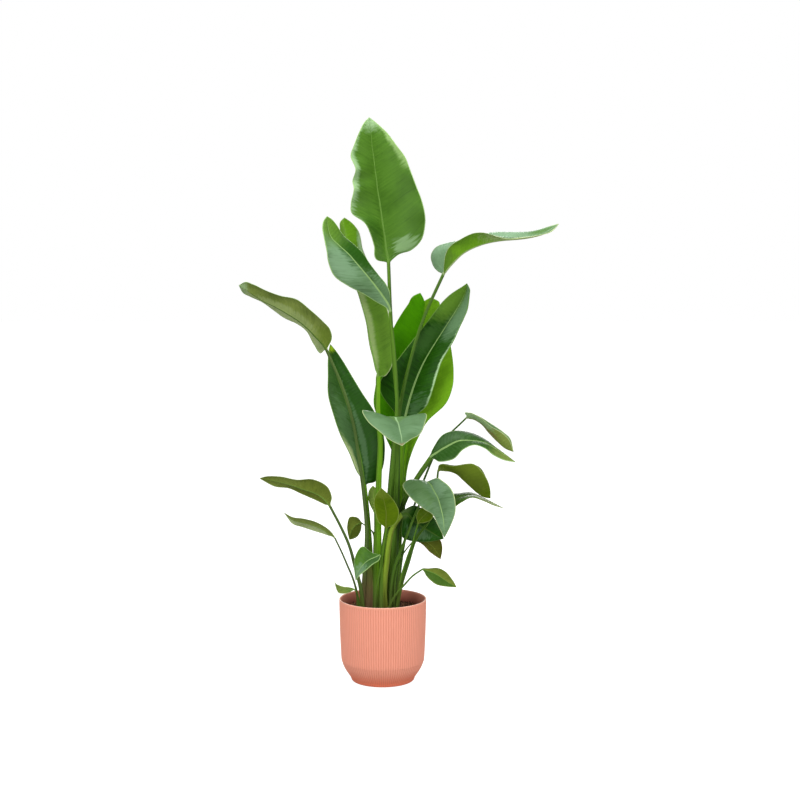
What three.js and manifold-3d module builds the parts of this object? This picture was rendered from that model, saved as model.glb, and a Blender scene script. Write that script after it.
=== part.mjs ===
// A bird of paradise plant in a ribbed plastic pot. Millimetres, +Z up, the pot's axis on Z and its
// underside at Z = 0. The viewer of the photograph stands on the -Y side, and +X is to the viewer's
// right.
import * as THREE from "three";
import { mergeVertices } from "three/addons/utils/BufferGeometryUtils.js";
import Module from "manifold-3d";

const wasm = await Module();
wasm.setup();

// Driving dimensions of the pot.
const POT_HEIGHT = 207;
const RIB_COUNT = 108;
const RIB_DEPTH = 1;
const WALL = 2.6;
const FLOOR = 4;
const INNER_SIDES = 40;

// The pot's outer profile over the rib crests, from the floor up: [radius, height, share of the full rib
// depth].
const POT_PROFILE = [
  [77, 0, 0.5],
  [82.5, 8, 0.5],
  [91, 16, 1],
  [99.5, 34, 1],
  [105, 58, 1],
  [110, POT_HEIGHT - 4, 1],
  [110, POT_HEIGHT, 0],
];

// How far a cutting shape stands out past the face that it cuts.
const CUT_PAST = 5;

// Driving dimensions of the soil and of the stalks standing in it. The soil slopes down outside
// MOUND_SHARE of its radius, and a stalk stands upright until UPRIGHT above the soil.
const SOIL_TOP = 180;
const SOIL_EDGE_DROP = 4;
const MOUND_SHARE = 0.85;
const STALK_SUNK = 40;
const UPRIGHT = 3;
const CLEARANCE = 0.4;
const HOLE_SIDES = 8;

// A stalk is flattened, and thinner under its blade than in a straight taper.
const STALK_FLATNESS = 0.8;
const STALK_TAPER = 2;
const STALK_SAMPLES = 200;

// A blade is thickest along its midrib, which is a shallow channel above and a keel below. Half width of
// the channel and depth of the keel are in stalk radii. CHANNEL_SHARE: the widest channel, as a share of
// the blade's half width.
const BLADE_THICKNESS = 1.8;
const EDGE_THICKNESS = 1.2;
const CHANNEL_HALF_WIDTH = 0.6;
const CHANNEL_SHARE = 0.2;
const KEEL_DEPTH = 0.75;
const TIP_HALF_WIDTH = 0.9;

// The highest wave of a blade's edge, as a share of its half width there, and how far the waves of the
// next leaf and of a leaf's other half are ahead, in radians.
const HIGHEST_WAVE = 0.12;
const WAVE_LEAD = 1.7;
const WAVE_LEAD_ACROSS = 2;

// How finely a leaf is divided. columns: the points of a blade's cross-section, from -1 at the left edge
// over 0 on the midrib to 1 at the right edge. rowsPerSection: rows from one cross-section to the next.
// stalkSteps: rings up the stalk.
const WIDE_COLUMNS = [-1, -0.55, -0.09, 0, 0.09, 0.55, 1];
const NARROW_COLUMNS = [-1, -0.5, 0, 0.5, 1];
const DETAIL = {
  largest: { columns: WIDE_COLUMNS, rowsPerSection: 1, stalkSteps: 7 },
  large: { columns: WIDE_COLUMNS, rowsPerSection: 2, stalkSteps: 7 },
  middle: { columns: WIDE_COLUMNS, rowsPerSection: 1, stalkSteps: 6 },
  small: { columns: NARROW_COLUMNS, rowsPerSection: 1, stalkSteps: 5 },
};

// Colours and roughness of the pot and the soil, and the leaves' roughness. A leaf's colour stands with
// the leaf.
const POT_FINISH = ["#ee9c84", 0.55];
const SOIL_FINISH = ["#2a1508", 0.95];
const LEAF_ROUGHNESS = 0.5;

// The leaves. foot: where the stalk leaves the soil, [x, y]. radius: of the stalk, at the soil and under
// the blade. stalk: the points that it passes, up to the start of the blade. blade: cross-sections from
// there towards the tip, each as left edge, midrib and right edge, left and right as seen on the upper
// face. wave: height of the edge's waves.
const LEAVES = {
  leaf_top: {
    size: "largest", colour: "#4f7a26", wave: 2, waves: 5, arch: 0.06,
    foot: [20, -6], radius: [8, 3.8],
    stalk: [[27, -8, 305], [35, -10, 510], [39, -10, 660], [33, -8, 745], [27, -8, 820], [20, -6, 925],
      [15, -2, 1049]],
    blade: [
      [[-12, -6, 1054], [14, -1, 1059], [34, -5, 1065]],
      [[-20, -11, 1090], [9, 2, 1083], [71, -12, 1079]],
      [[-29, -16, 1115], [6, 5, 1109], [96, -20, 1103]],
      [[-44, -20, 1145], [1, 9, 1140], [105, -24, 1143]],
      [[-74, -17, 1169], [-3, 13, 1171], [104, -23, 1174]],
      [[-78, -13, 1192], [-7, 17, 1199], [96, -20, 1204]],
      [[-70, -17, 1230], [-13, 20, 1234], [84, -18, 1233]],
      [[-73, -5, 1249], [-15, 22, 1255], [77, -14, 1255]],
      [[-67, -9, 1276], [-19, 25, 1281], [67, -10, 1280]],
      [[-78, 5, 1311], [-22, 28, 1311], [55, -3, 1309]],
      [[-70, 10, 1338], [-26, 31, 1338], [37, 6, 1335]],
      [[-57, 23, 1374], [-29, 34, 1373], [9, 20, 1372]],
      [[-44, 33, 1398], [-32, 36, 1397], [-17, 33, 1397]],
    ],
    tip: [-33, 37, 1409],
  },
  leaf_upper_left_front: {
    size: "largest", colour: "#5f8f5c", wave: 3, waves: 3, arch: 0.08,
    foot: [6, 14], radius: [7.5, 3.4],
    stalk: [[12, 10, 302], [21, -2, 460], [31, -20, 610], [36, -28, 695], [30, -28, 820], [25, -26, 881],
      [19, -20, 927]],
    blade: [
      [[10, -26, 937], [16, -24, 942], [20, -22, 952]],
      [[-14, -36, 952], [4, -28, 962], [18, -24, 974]],
      [[-46, -54, 971], [-14, -36, 987], [9, -26, 995]],
      [[-83, -78, 990], [-38, -46, 1017], [-9, -28, 1020]],
      [[-114, -92, 1015], [-61, -54, 1044], [-30, -30, 1046]],
      [[-128, -96, 1047], [-82, -60, 1068], [-51, -32, 1072]],
      [[-134, -94, 1072], [-103, -62, 1087], [-71, -34, 1094]],
      [[-140, -84, 1104], [-123, -60, 1107], [-93, -36, 1115]],
      [[-143, -68, 1134], [-132, -54, 1132], [-113, -38, 1141]],
      [[-141, -55, 1151], [-134, -48, 1150], [-125, -41, 1154]],
    ],
    tip: [-134, -45, 1160],
  },
  leaf_upper_left_back: {
    size: "largest", colour: "#6f9a3c", wave: 3, waves: 3, arch: 0.08,
    foot: [-12, -22], radius: [8, 4],
    stalk: [[-12, -20, 384], [-9, -14, 530], [-6, -10, 610], [-13, -2, 708], [-11, 0, 765]],
    blade: [
      [[5, 8, 767], [-13, 3, 779], [-15, 9, 777]],
      [[21, 14, 786], [-19, 5, 800], [-22, 25, 799]],
      [[27, 28, 840], [-29, 12, 844], [-31, 66, 841]],
      [[19, 34, 901], [-40, 22, 902], [-45, 92, 901]],
      [[3, 42, 962], [-58, 32, 965], [-64, 108, 965]],
      [[-22, 50, 1027], [-77, 42, 1027], [-85, 110, 1029]],
      [[-50, 55, 1083], [-90, 48, 1090], [-102, 98, 1092]],
      [[-64, 55, 1135], [-96, 50, 1134], [-111, 72, 1136]],
      [[-81, 52, 1154], [-97, 50, 1153], [-106, 58, 1154]],
    ],
    tip: [-96, 50, 1163],
  },
  leaf_left_arching: {
    size: "largest", colour: "#64802c", wave: 3, waves: 3, arch: 0.1,
    foot: [-50, -8], radius: [5, 3.4],
    stalk: [[-44, -12, 306], [-40, -16, 383], [-46, -18, 460], [-51, -22, 520], [-63, -32, 591],
      [-80, -42, 694], [-102, -46, 754], [-128, -48, 811], [-137, -48, 835]],
    blade: [
      [[-125, -60, 857], [-144, -48, 846], [-153, -30, 825]],
      [[-126, -72, 882], [-159, -50, 863], [-169, -10, 850]],
      [[-144, -88, 909], [-180, -54, 886], [-189, 2, 878]],
      [[-173, -98, 933], [-203, -59, 906], [-214, 6, 895]],
      [[-205, -106, 956], [-229, -65, 923], [-243, 6, 914]],
      [[-242, -110, 968], [-258, -71, 940], [-272, 0, 934]],
      [[-276, -112, 980], [-287, -78, 954], [-299, -12, 949]],
      [[-310, -109, 992], [-315, -84, 972], [-325, -36, 966]],
      [[-331, -102, 999], [-335, -90, 987], [-340, -62, 980]],
    ],
    tip: [-344, -95, 992],
  },
  leaf_left_upright: {
    size: "largest", colour: "#2f5f2c", wave: 3, waves: 3, arch: 0.08,
    foot: [-33, -4], radius: [8, 4.5],
    stalk: [[-33, -2, 253], [-37, 0, 380], [-43, 0, 457], [-47, 0, 493]],
    blade: [
      [[-53, -2, 509], [-49, 2, 514], [-18, 4, 503]],
      [[-64, -4, 529], [-52, 6, 535], [-2, 8, 531]],
      [[-82, -4, 572], [-58, 18, 568], [6, 10, 577]],
      [[-107, 4, 618], [-68, 28, 610], [0, 18, 629]],
      [[-124, 14, 673], [-82, 38, 665], [-20, 26, 675]],
      [[-137, 24, 725], [-101, 48, 722], [-52, 36, 725]],
      [[-140, 34, 766], [-117, 54, 764], [-78, 44, 766]],
      [[-139, 46, 806], [-128, 58, 806], [-104, 52, 807]],
      [[-137, 56, 830], [-132, 60, 830], [-120, 58, 831]],
    ],
    tip: [-133, 60, 845],
  },
  leaf_right_reaching: {
    size: "large", colour: "#5f8f4c", wave: 4, waves: 3, arch: 0.1,
    foot: [26, 14], radius: [7.5, 3.6],
    stalk: [[33, 14, 301], [38, 12, 505], [41, 12, 660], [46, 10, 723], [56, 10, 758], [77, 10, 830],
      [106, 10, 922], [127, 8, 967], [150, 5, 1019]],
    blade: [
      [[128, 24, 1037], [160, 2, 1034], [152, -14, 1045]],
      [[121, 42, 1065], [177, -2, 1053], [161, -35, 1077]],
      [[139, 48, 1090], [199, -8, 1073], [175, -52, 1098]],
      [[184, 42, 1107], [226, -14, 1087], [206, -62, 1112]],
      [[238, 34, 1117], [257, -22, 1097], [244, -70, 1116]],
      [[290, 22, 1123], [296, -30, 1103], [287, -72, 1110]],
      [[350, 4, 1128], [341, -38, 1106], [331, -70, 1105]],
      [[398, -30, 1133], [393, -46, 1117], [407, -58, 1118]],
    ],
    tip: [429, -50, 1141],
  },
  leaf_back_tall: {
    size: "largest", colour: "#4f8a14", wave: 4, waves: 3, arch: 0.08,
    foot: [20, 56], radius: [7.5, 5],
    stalk: [[27, 57, 254], [43, 60, 370], [50, 60, 434], [51, 60, 489]],
    blade: [
      [[36, 62, 535], [54, 66, 534], [65, 62, 538]],
      [[22, 61, 573], [59, 71, 569], [77, 63, 576]],
      [[4, 61, 612], [64, 78, 605], [90, 65, 609]],
      [[-15, 62, 663], [72, 85, 647], [113, 63, 650]],
      [[-23, 66, 698], [79, 91, 691], [161, 64, 694]],
      [[-20, 72, 734], [85, 98, 729], [178, 70, 734]],
      [[-12, 78, 774], [90, 104, 770], [180, 76, 774]],
      [[6, 88, 830], [96, 113, 824], [174, 88, 830]],
      [[23, 96, 876], [100, 118, 867], [166, 98, 873]],
      [[44, 104, 916], [103, 120, 906], [157, 106, 914]],
      [[63, 111, 946], [105, 121, 933], [147, 112, 942]],
      [[81, 116, 970], [107, 121, 950], [136, 117, 958]],
      [[96, 119, 976], [106, 121, 955], [122, 119, 964]],
    ],
  },
  leaf_right_dark: {
    size: "large", colour: "#274f1c", wave: 4, waves: 3.5, arch: 0.08,
    foot: [30, 36], radius: [7.5, 4.5],
    stalk: [[34, 37, 258], [43, 40, 373], [48, 40, 527], [51, 38, 639]],
    blade: [
      [[26, 34, 678], [56, 40, 660], [76, 36, 662]],
      [[-2, 26, 719], [66, 43, 700], [111, 30, 691]],
      [[-7, 24, 754], [81, 45, 748], [129, 22, 737]],
      [[38, 24, 810], [104, 46, 801], [146, 20, 802]],
      [[81, 24, 862], [137, 45, 857], [181, 18, 857]],
      [[116, 22, 912], [169, 40, 907], [203, 16, 912]],
      [[153, 22, 955], [196, 33, 952], [215, 16, 955]],
      [[188, 22, 984], [208, 26, 980], [219, 18, 982]],
    ],
    tip: [210, 20, 998],
  },
  leaf_front_cupped: {
    size: "middle", colour: "#75997a", wave: 3, waves: 2.5, arch: 0.08,
    foot: [-10, 10], radius: [5.5, 3.4],
    stalk: [[3, -8, 306], [15, -24, 463], [26, -38, 587], [31, -45, 667]],
    blade: [
      [[68, -52, 673], [34, -56, 663], [-11, -54, 673]],
      [[104, -74, 681], [39, -84, 656], [-47, -80, 687]],
      [[104, -112, 659], [43, -122, 643], [-34, -118, 669]],
      [[89, -148, 638], [47, -158, 630], [-7, -152, 643]],
      [[66, -178, 624], [48, -184, 620], [25, -180, 625]],
    ],
    tip: [48, -195, 615],
  },
  leaf_right_folded: {
    size: "small", colour: "#4d7040", wave: 2, waves: 2, arch: -0.04,
    foot: [38, 56], radius: [4, 2.4],
    stalk: [[42, 54, 254], [56, 52, 345], [79, 46, 437], [104, 42, 501], [124, 42, 553], [152, 48, 600],
      [182, 34, 636], [209, 12, 662]],
    blade: [
      [[206, 22, 675], [221, 8, 662], [211, -5, 674]],
      [[237, 26, 666], [246, 4, 650], [239, -16, 667]],
      [[274, 22, 645], [266, 0, 627], [269, -20, 646]],
      [[305, 16, 626], [288, -3, 604], [299, -20, 626]],
      [[321, 10, 607], [308, -4, 587], [317, -17, 606]],
    ],
    tip: [327, -4, 579],
  },
  leaf_right_domed: {
    size: "middle", colour: "#456a3a", wave: 2, waves: 2.5, arch: 0.08,
    foot: [10, 34], radius: [6, 4.2],
    stalk: [[23, 30, 285], [36, 27, 377], [56, 14, 455], [79, 8, 498], [99, 6, 532], [121, 5, 562]],
    blade: [
      [[126, 18, 583], [139, 1, 578], [143, -14, 554]],
      [[149, 24, 615], [163, -4, 593], [175, -26, 563]],
      [[182, 22, 630], [191, -8, 606], [199, -34, 587]],
      [[220, 26, 625], [220, -12, 607], [224, -38, 597]],
      [[257, 12, 607], [255, -16, 602], [253, -40, 592]],
      [[286, 0, 588], [285, -19, 585], [276, -36, 574]],
      [[310, -10, 571], [310, -20, 568], [304, -28, 559]],
    ],
    tip: [330, -20, 555],
  },
  leaf_right_drooping: {
    size: "middle", colour: "#557a24", wave: 2, waves: 2.5, arch: -0.05,
    foot: [36, -20], radius: [5, 3],
    stalk: [[47, -24, 248], [66, -30, 310], [78, -34, 354], [96, -38, 385], [120, -34, 419],
      [131, -16, 467], [136, 3, 509], [139, 4, 529]],
    blade: [
      [[147, 18, 543], [159, -1, 532], [143, -14, 549]],
      [[182, 24, 542], [183, -6, 526], [176, -28, 546]],
      [[217, 20, 545], [203, -11, 509], [222, -36, 552]],
      [[245, 20, 535], [221, -16, 492], [246, -48, 536]],
      [[261, 10, 511], [238, -20, 477], [260, -50, 510]],
      [[266, -6, 486], [253, -23, 468], [267, -40, 487]],
    ],
    tip: [269, -25, 465],
  },
  leaf_right_narrow: {
    size: "small", colour: "#3f6a2a", wave: 1.5, waves: 2, arch: 0.08,
    foot: [36, -2], radius: [3.4, 2.2],
    stalk: [[51, 2, 253], [66, 10, 307], [79, 16, 349], [112, 24, 399], [147, 26, 437]],
    blade: [
      [[165, 40, 461], [167, 20, 448], [172, 2, 436]],
      [[196, 42, 469], [197, 12, 462], [198, -12, 451]],
      [[226, 36, 469], [227, 5, 467], [223, -22, 466]],
      [[256, 24, 458], [254, -1, 458], [253, -26, 458]],
      [[280, 8, 448], [279, -6, 447], [275, -20, 445]],
    ],
    tip: [303, -10, 437],
  },
  leaf_front_large: {
    size: "middle", colour: "#6a8f68", wave: 2.5, waves: 3, arch: 0.08,
    foot: [20, -26], radius: [4, 2.6],
    stalk: [[22, -28, 246], [31, -32, 298], [43, -36, 329], [61, -38, 375], [71, -38, 402],
      [87, -39, 432], [95, -24, 464], [101, -15, 491], [108, -16, 503]],
    blade: [
      [[130, -33, 516], [118, -27, 500], [76, -29, 510]],
      [[152, -56, 510], [127, -50, 487], [51, -50, 504]],
      [[168, -84, 497], [137, -76, 471], [68, -80, 474]],
      [[178, -104, 473], [143, -98, 452], [102, -96, 449]],
      [[177, -116, 443], [148, -114, 430], [123, -110, 437]],
      [[167, -122, 414], [150, -122, 409], [135, -118, 414]],
    ],
    tip: [151, -124, 384],
  },
  leaf_front_dark: {
    size: "middle", colour: "#1f3d1c", wave: 2.5, waves: 3, arch: 0.08,
    foot: [5, -30], radius: [8, 5.5],
    stalk: [[3, -34, 235], [11, -42, 313], [17, -46, 361], [26, -46, 398], [37, -44, 417],
      [47, -42, 425]],
    blade: [
      [[67, -36, 446], [58, -40, 428], [50, -40, 412]],
      [[96, -22, 440], [73, -30, 413], [46, -30, 376]],
      [[123, -12, 421], [96, -16, 393], [68, -22, 357]],
      [[139, -6, 394], [121, -7, 377], [104, -10, 352]],
      [[148, 0, 375], [139, -1, 365], [131, -3, 353]],
    ],
    tip: [153, 2, 358],
  },
  leaf_hanging_brown: {
    size: "small", colour: "#4a4f16", wave: 1.5, waves: 2, arch: 0.08,
    foot: [28, -38], radius: [3, 1.8],
    stalk: [[33, -32, 265], [43, -20, 308], [58, -2, 330], [76, 10, 350]],
    blade: [
      [[91, 14, 346], [99, 14, 352], [114, 14, 360]],
      [[104, 14, 337], [119, 18, 340], [142, 14, 355]],
      [[119, 14, 322], [132, 20, 326], [150, 14, 340]],
      [[135, 16, 309], [141, 20, 313], [150, 16, 321]],
    ],
    tip: [146, 18, 303],
  },
  leaf_low_right: {
    size: "small", colour: "#4a6a22", wave: 1.5, waves: 2, arch: 0.08,
    foot: [14, -46], radius: [3.2, 1.8],
    stalk: [[28, -54, 221], [51, -60, 250], [73, -61, 275], [98, -58, 292]],
    blade: [
      [[115, -50, 294], [110, -60, 289], [108, -68, 278]],
      [[138, -50, 293], [130, -64, 282], [120, -76, 267]],
      [[160, -56, 283], [150, -68, 270], [137, -80, 258]],
      [[174, -66, 267], [164, -72, 261], [157, -80, 253]],
    ],
    tip: [182, -77, 252],
  },
  leaf_low_left: {
    size: "small", colour: "#5a7030", wave: 2, waves: 2.5, arch: 0.1,
    foot: [-50, -26], radius: [4.2, 2.4],
    stalk: [[-54, -30, 234], [-69, -36, 296], [-76, -40, 327], [-86, -44, 358], [-103, -50, 397],
      [-129, -56, 449]],
    blade: [
      [[-124, -66, 474], [-144, -57, 468], [-145, -44, 451]],
      [[-135, -76, 500], [-166, -59, 483], [-170, -38, 465]],
      [[-169, -82, 521], [-195, -62, 493], [-200, -38, 477]],
      [[-208, -84, 519], [-224, -65, 504], [-231, -42, 490]],
      [[-250, -84, 526], [-258, -68, 513], [-265, -50, 499]],
      [[-284, -80, 528], [-285, -70, 519], [-286, -60, 509]],
    ],
    tip: [-300, -73, 521],
  },
  leaf_low_left_narrow: {
    size: "small", colour: "#4a6a2a", wave: 1.5, waves: 2, arch: 0.08,
    foot: [-63, -8], radius: [3.2, 1.8],
    stalk: [[-67, -7, 233], [-82, -6, 275], [-95, -4, 305], [-108, -2, 335], [-120, 0, 359]],
    blade: [
      [[-132, -8, 378], [-138, 1, 373], [-141, 10, 366]],
      [[-162, -18, 403], [-168, 4, 389], [-174, 22, 374]],
      [[-199, -14, 411], [-201, 7, 398], [-205, 28, 382]],
      [[-225, -4, 413], [-226, 10, 404], [-228, 24, 393]],
    ],
    tip: [-249, 12, 422],
  },
  leaf_small_left: {
    size: "small", colour: "#55702a", wave: 1.5, waves: 2, arch: 0.08,
    foot: [-22, 10], radius: [2.5, 1.6],
    stalk: [[-22, 11, 302], [-24, 13, 358], [-30, 15, 393], [-43, 17, 399], [-53, 18, 395]],
    blade: [
      [[-63, 12, 410], [-63, 17, 393], [-55, 22, 377]],
      [[-82, 6, 412], [-73, 14, 386], [-63, 22, 361]],
      [[-90, 2, 390], [-80, 10, 374], [-74, 18, 355]],
    ],
    tip: [-84, 6, 355],
  },
  leaf_low_front: {
    size: "small", colour: "#5a8a4e", wave: 1.5, waves: 2, arch: 0.1,
    foot: [-20, -46], radius: [3.2, 2],
    stalk: [[-16, -50, 239], [-7, -58, 286], [-5, -64, 327]],
    blade: [
      [[-8, -74, 319], [-18, -68, 324], [-26, -60, 334]],
      [[-23, -84, 309], [-35, -72, 317], [-49, -58, 350]],
      [[-40, -90, 297], [-50, -76, 304], [-66, -62, 329]],
      [[-55, -90, 284], [-60, -80, 289], [-69, -70, 301]],
    ],
    tip: [-65, -84, 270],
  },
  leaf_rim_left: {
    size: "small", colour: "#55702a", wave: 1, waves: 2, arch: 0.08,
    foot: [-58, -38], radius: [2.8, 1.6],
    stalk: [[-60, -42, 217], [-69, -46, 238]],
    blade: [
      [[-81, -40, 244], [-81, -48, 238], [-83, -58, 234]],
      [[-99, -36, 244], [-98, -50, 237], [-100, -64, 233]],
      [[-113, -42, 252], [-112, -52, 243], [-110, -62, 236]],
    ],
    tip: [-119, -52, 261],
  },
  leaf_front_upright: {
    size: "small", colour: "#57781e", wave: 1.5, waves: 2, arch: 0.08,
    foot: [-3, -46], radius: [3.6, 2.4],
    stalk: [[-4, -48, 263], [-2, -49, 327], [4, -55, 365], [9, -60, 396]],
    blade: [
      [[29, -62, 404], [9, -62, 411], [-8, -60, 409]],
      [[41, -60, 433], [9, -66, 439], [-18, -60, 436]],
      [[31, -60, 461], [4, -68, 465], [-21, -60, 463]],
      [[14, -60, 481], [-1, -66, 484], [-14, -60, 481]],
    ],
    tip: [-3, -62, 496],
  },
  leaf_small_round: {
    size: "small", colour: "#7a9a1e", wave: 1, waves: 2, arch: 0.08,
    foot: [-26, 26], radius: [2.8, 2],
    stalk: [[-23, 26, 299], [-20, 24, 376], [-20, 18, 418]],
    blade: [
      [[-7, 14, 437], [-21, 17, 436], [-32, 12, 442]],
      [[-3, 12, 460], [-21, 17, 462], [-37, 10, 465]],
      [[-12, 14, 480], [-22, 17, 482], [-32, 12, 483]],
    ],
    tip: [-25, 16, 490],
  },
  leaf_small_under: {
    size: "small", colour: "#6a7a1e", wave: 1, waves: 2, arch: 0.08,
    foot: [34, -45], radius: [2.4, 1.5],
    stalk: [[48, -52, 277], [66, -49, 334], [81, -51, 377], [88, -55, 406]],
    blade: [
      [[84, -52, 422], [95, -57, 418], [103, -60, 409]],
      [[93, -50, 442], [107, -60, 431], [120, -64, 417]],
      [[110, -52, 452], [117, -62, 441], [127, -66, 432]],
    ],
    tip: [127, -62, 447],
  },
};

const plant = new THREE.Group();

function material(colour, roughness) {
  return new THREE.MeshStandardMaterial({ color: colour, roughness, metalness: 0, side: THREE.DoubleSide });
}

function addMesh(name, geometry, colour, roughness) {
  const mesh = new THREE.Mesh(geometry, material(colour, roughness));
  mesh.name = name;
  plant.add(mesh);
}

function geometryFrom(points, triangles) {
  const geometry = new THREE.BufferGeometry().setFromPoints(points);
  geometry.setIndex(triangles);
  return geometry;
}

function solidFrom(geometry) {
  geometry.deleteAttribute("normal");
  geometry.deleteAttribute("uv");
  const merged = mergeVertices(geometry, 1e-4);
  return new wasm.Manifold(
    new wasm.Mesh({
      numProp: 3,
      vertProperties: new Float32Array(merged.attributes.position.array),
      triVerts: new Uint32Array(merged.index.array),
    }),
  );
}

function geometryOf(solid) {
  const mesh = solid.getMesh();
  const geometry = new THREE.BufferGeometry();
  geometry.setAttribute("position", new THREE.BufferAttribute(new Float32Array(mesh.vertProperties), 3));
  geometry.setIndex(new THREE.BufferAttribute(new Uint32Array(mesh.triVerts), 1));
  return geometry;
}

// A closed solid round the Z axis through rings of points: rings[i] lists one ring, from the bottom up.
function stackedRings(rings) {
  const count = rings[0].length;
  const points = rings.flat();
  const triangles = [];
  for (let i = 0; i + 1 < rings.length; i++)
    for (let k = 0; k < count; k++) {
      const a = i * count + k;
      const b = i * count + ((k + 1) % count);
      triangles.push(a, b, b + count, a, b + count, a + count);
    }
  const bottom = points.push(new THREE.Vector3(0, 0, rings[0][0].z)) - 1;
  const top = points.push(new THREE.Vector3(0, 0, rings.at(-1)[0].z)) - 1;
  const lastRing = (rings.length - 1) * count;
  for (let k = 0; k < count; k++) {
    const next = (k + 1) % count;
    triangles.push(bottom, next, k);
    triangles.push(top, lastRing + k, lastRing + next);
  }
  return geometryFrom(points, triangles);
}

function ring(count, z, radiusAt) {
  return Array.from({ length: count }, (_, k) => {
    const angle = (2 * Math.PI * k) / count;
    const radius = radiusAt(k);
    return new THREE.Vector3(radius * Math.cos(angle), radius * Math.sin(angle), z);
  });
}

// The pot: ribbed outside, smooth inside, its inner wall bending at the heights where the outer one does.
function innerRadiusAt(z) {
  const above = POT_PROFILE.findIndex(([, height]) => height >= z);
  const [radius0, height0] = POT_PROFILE[Math.max(above - 1, 0)];
  const [radius1, height1] = POT_PROFILE[above];
  const share = height1 === height0 ? 0 : (z - height0) / (height1 - height0);
  return radius0 + (radius1 - radius0) * share - RIB_DEPTH - WALL;
}

function innerRings(inset, bottom, top) {
  const bends = POT_PROFILE.map(([, height]) => height);
  const heights = [bottom, ...bends.filter((z) => z > bottom && z < top), top];
  return heights.map((z) => ring(INNER_SIDES, z, () => innerRadiusAt(Math.min(z, POT_HEIGHT)) - inset));
}

function makePot() {
  const outer = POT_PROFILE.map(([radius, z, share]) =>
    ring(2 * RIB_COUNT, z, (k) => radius - (k % 2) * RIB_DEPTH * share),
  );
  const hollow = innerRings(0, FLOOR, POT_HEIGHT + CUT_PAST);
  return solidFrom(stackedRings(outer)).subtract(solidFrom(stackedRings(hollow)));
}

// One leaf is one skin: rings run up the stalk and on along the blade, with the same number of points in
// each, half of them on the upper face from left to right and half on the lower face.
function leafCurves({ foot, stalk, blade, tip }) {
  const base = stalk.at(-1);
  const end = tip ? [tip] : [];
  const curve = (points) => new THREE.CatmullRomCurve3(points.map((p) => new THREE.Vector3(...p)));
  return {
    spine: curve([[...foot, SOIL_TOP + UPRIGHT], ...stalk, ...blade.map((section) => section[1]), ...end]),
    left: curve([base, ...blade.map((section) => section[0]), ...end]),
    right: curve([base, ...blade.map((section) => section[2]), ...end]),
    stalkSpans: stalk.length,
    bladeSpans: blade.length + end.length,
  };
}

// Stations along the stalk, equally far apart, as values of the spine's parameter.
function stalkStations(spine, share, steps) {
  const lengths = [0];
  let last = spine.getPoint(0);
  for (let k = 1; k <= STALK_SAMPLES; k++) {
    const point = spine.getPoint((share * k) / STALK_SAMPLES);
    lengths.push(lengths.at(-1) + point.distanceTo(last));
    last = point;
  }
  const total = lengths.at(-1);
  return Array.from({ length: steps + 1 }, (_, i) => {
    const k = i === steps ? STALK_SAMPLES : lengths.findIndex((length) => length >= (total * i) / steps);
    return (share * k) / STALK_SAMPLES;
  });
}

function across(direction, tangent) {
  return direction.clone().addScaledVector(tangent, -direction.dot(tangent)).normalize();
}

// Rings of the stalk from the soil to the blade, carried down from the blade's own left-to-right direction.
function stalkRings(leaf, curves, sides) {
  const spans = curves.stalkSpans + curves.bladeSpans;
  const steps = DETAIL[leaf.size].stalkSteps;
  const stations = stalkStations(curves.spine, curves.stalkSpans / spans, steps);
  const [left, , right] = leaf.blade[0].map((p) => new THREE.Vector3(...p));
  let sideways = right.sub(left);
  const rings = [];
  for (let i = steps; i >= 0; i--) {
    const centre = curves.spine.getPoint(stations[i]);
    const tangent = i === 0 ? new THREE.Vector3(0, 0, 1) : curves.spine.getTangent(stations[i]);
    sideways = across(sideways, tangent);
    const upward = sideways.clone().cross(tangent);
    const [thick, thin] = leaf.radius;
    const radius = thin + (thick - thin) * (1 - i / steps) ** STALK_TAPER;
    rings.unshift(ellipse(centre, sideways, upward, radius, sides));
  }
  return rings;
}

// The points of one stalk ring: the upper half from left to right, then the lower half from left to right.
function ellipse(centre, sideways, upward, radius, sides) {
  const half = sides / 2;
  const point = (k, sign) => {
    const angle = Math.PI * (1 - (k + 0.5) / half);
    return centre
      .clone()
      .addScaledVector(sideways, radius * Math.cos(angle))
      .addScaledVector(upward, sign * radius * STALK_FLATNESS * Math.sin(angle));
  };
  const row = (sign) => Array.from({ length: half }, (_, k) => point(k, sign));
  return [...row(1), ...row(-1)];
}

// The blade's cross-section at one place between the stalk (0) and the tip (1): the midrib, its
// direction, the two edges, the direction out of each half's upper face, and the direction from left to
// right.
function crossSection(curves, along) {
  const spans = curves.stalkSpans + curves.bladeSpans;
  const station = (curves.stalkSpans + along * curves.bladeSpans) / spans;
  const rib = curves.spine.getPoint(station);
  const tangent = curves.spine.getTangent(station);
  const [left, right] = [curves.left.getPoint(along), curves.right.getPoint(along)];
  const rightwards = [rib.clone().sub(left), right.clone().sub(rib)];
  const normals = rightwards.map((direction) => direction.cross(tangent).normalize());
  const upward = normals[0].clone().add(normals[1]).normalize();
  const sideways = tangent.clone().cross(upward).normalize();
  return { rib, edges: [left, right], normals, upward, sideways };
}

// The last row of a pointed blade is one point, so it is spread a little to keep the skin's rings alike.
function openTip(section, before) {
  section.normals = [before.upward, before.upward];
  section.upward = before.upward;
  section.sideways = before.sideways;
  section.edges[0].copy(section.rib).addScaledVector(before.sideways, -TIP_HALF_WIDTH);
  section.edges[1].copy(section.rib).addScaledVector(before.sideways, TIP_HALF_WIDTH);
}

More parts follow.
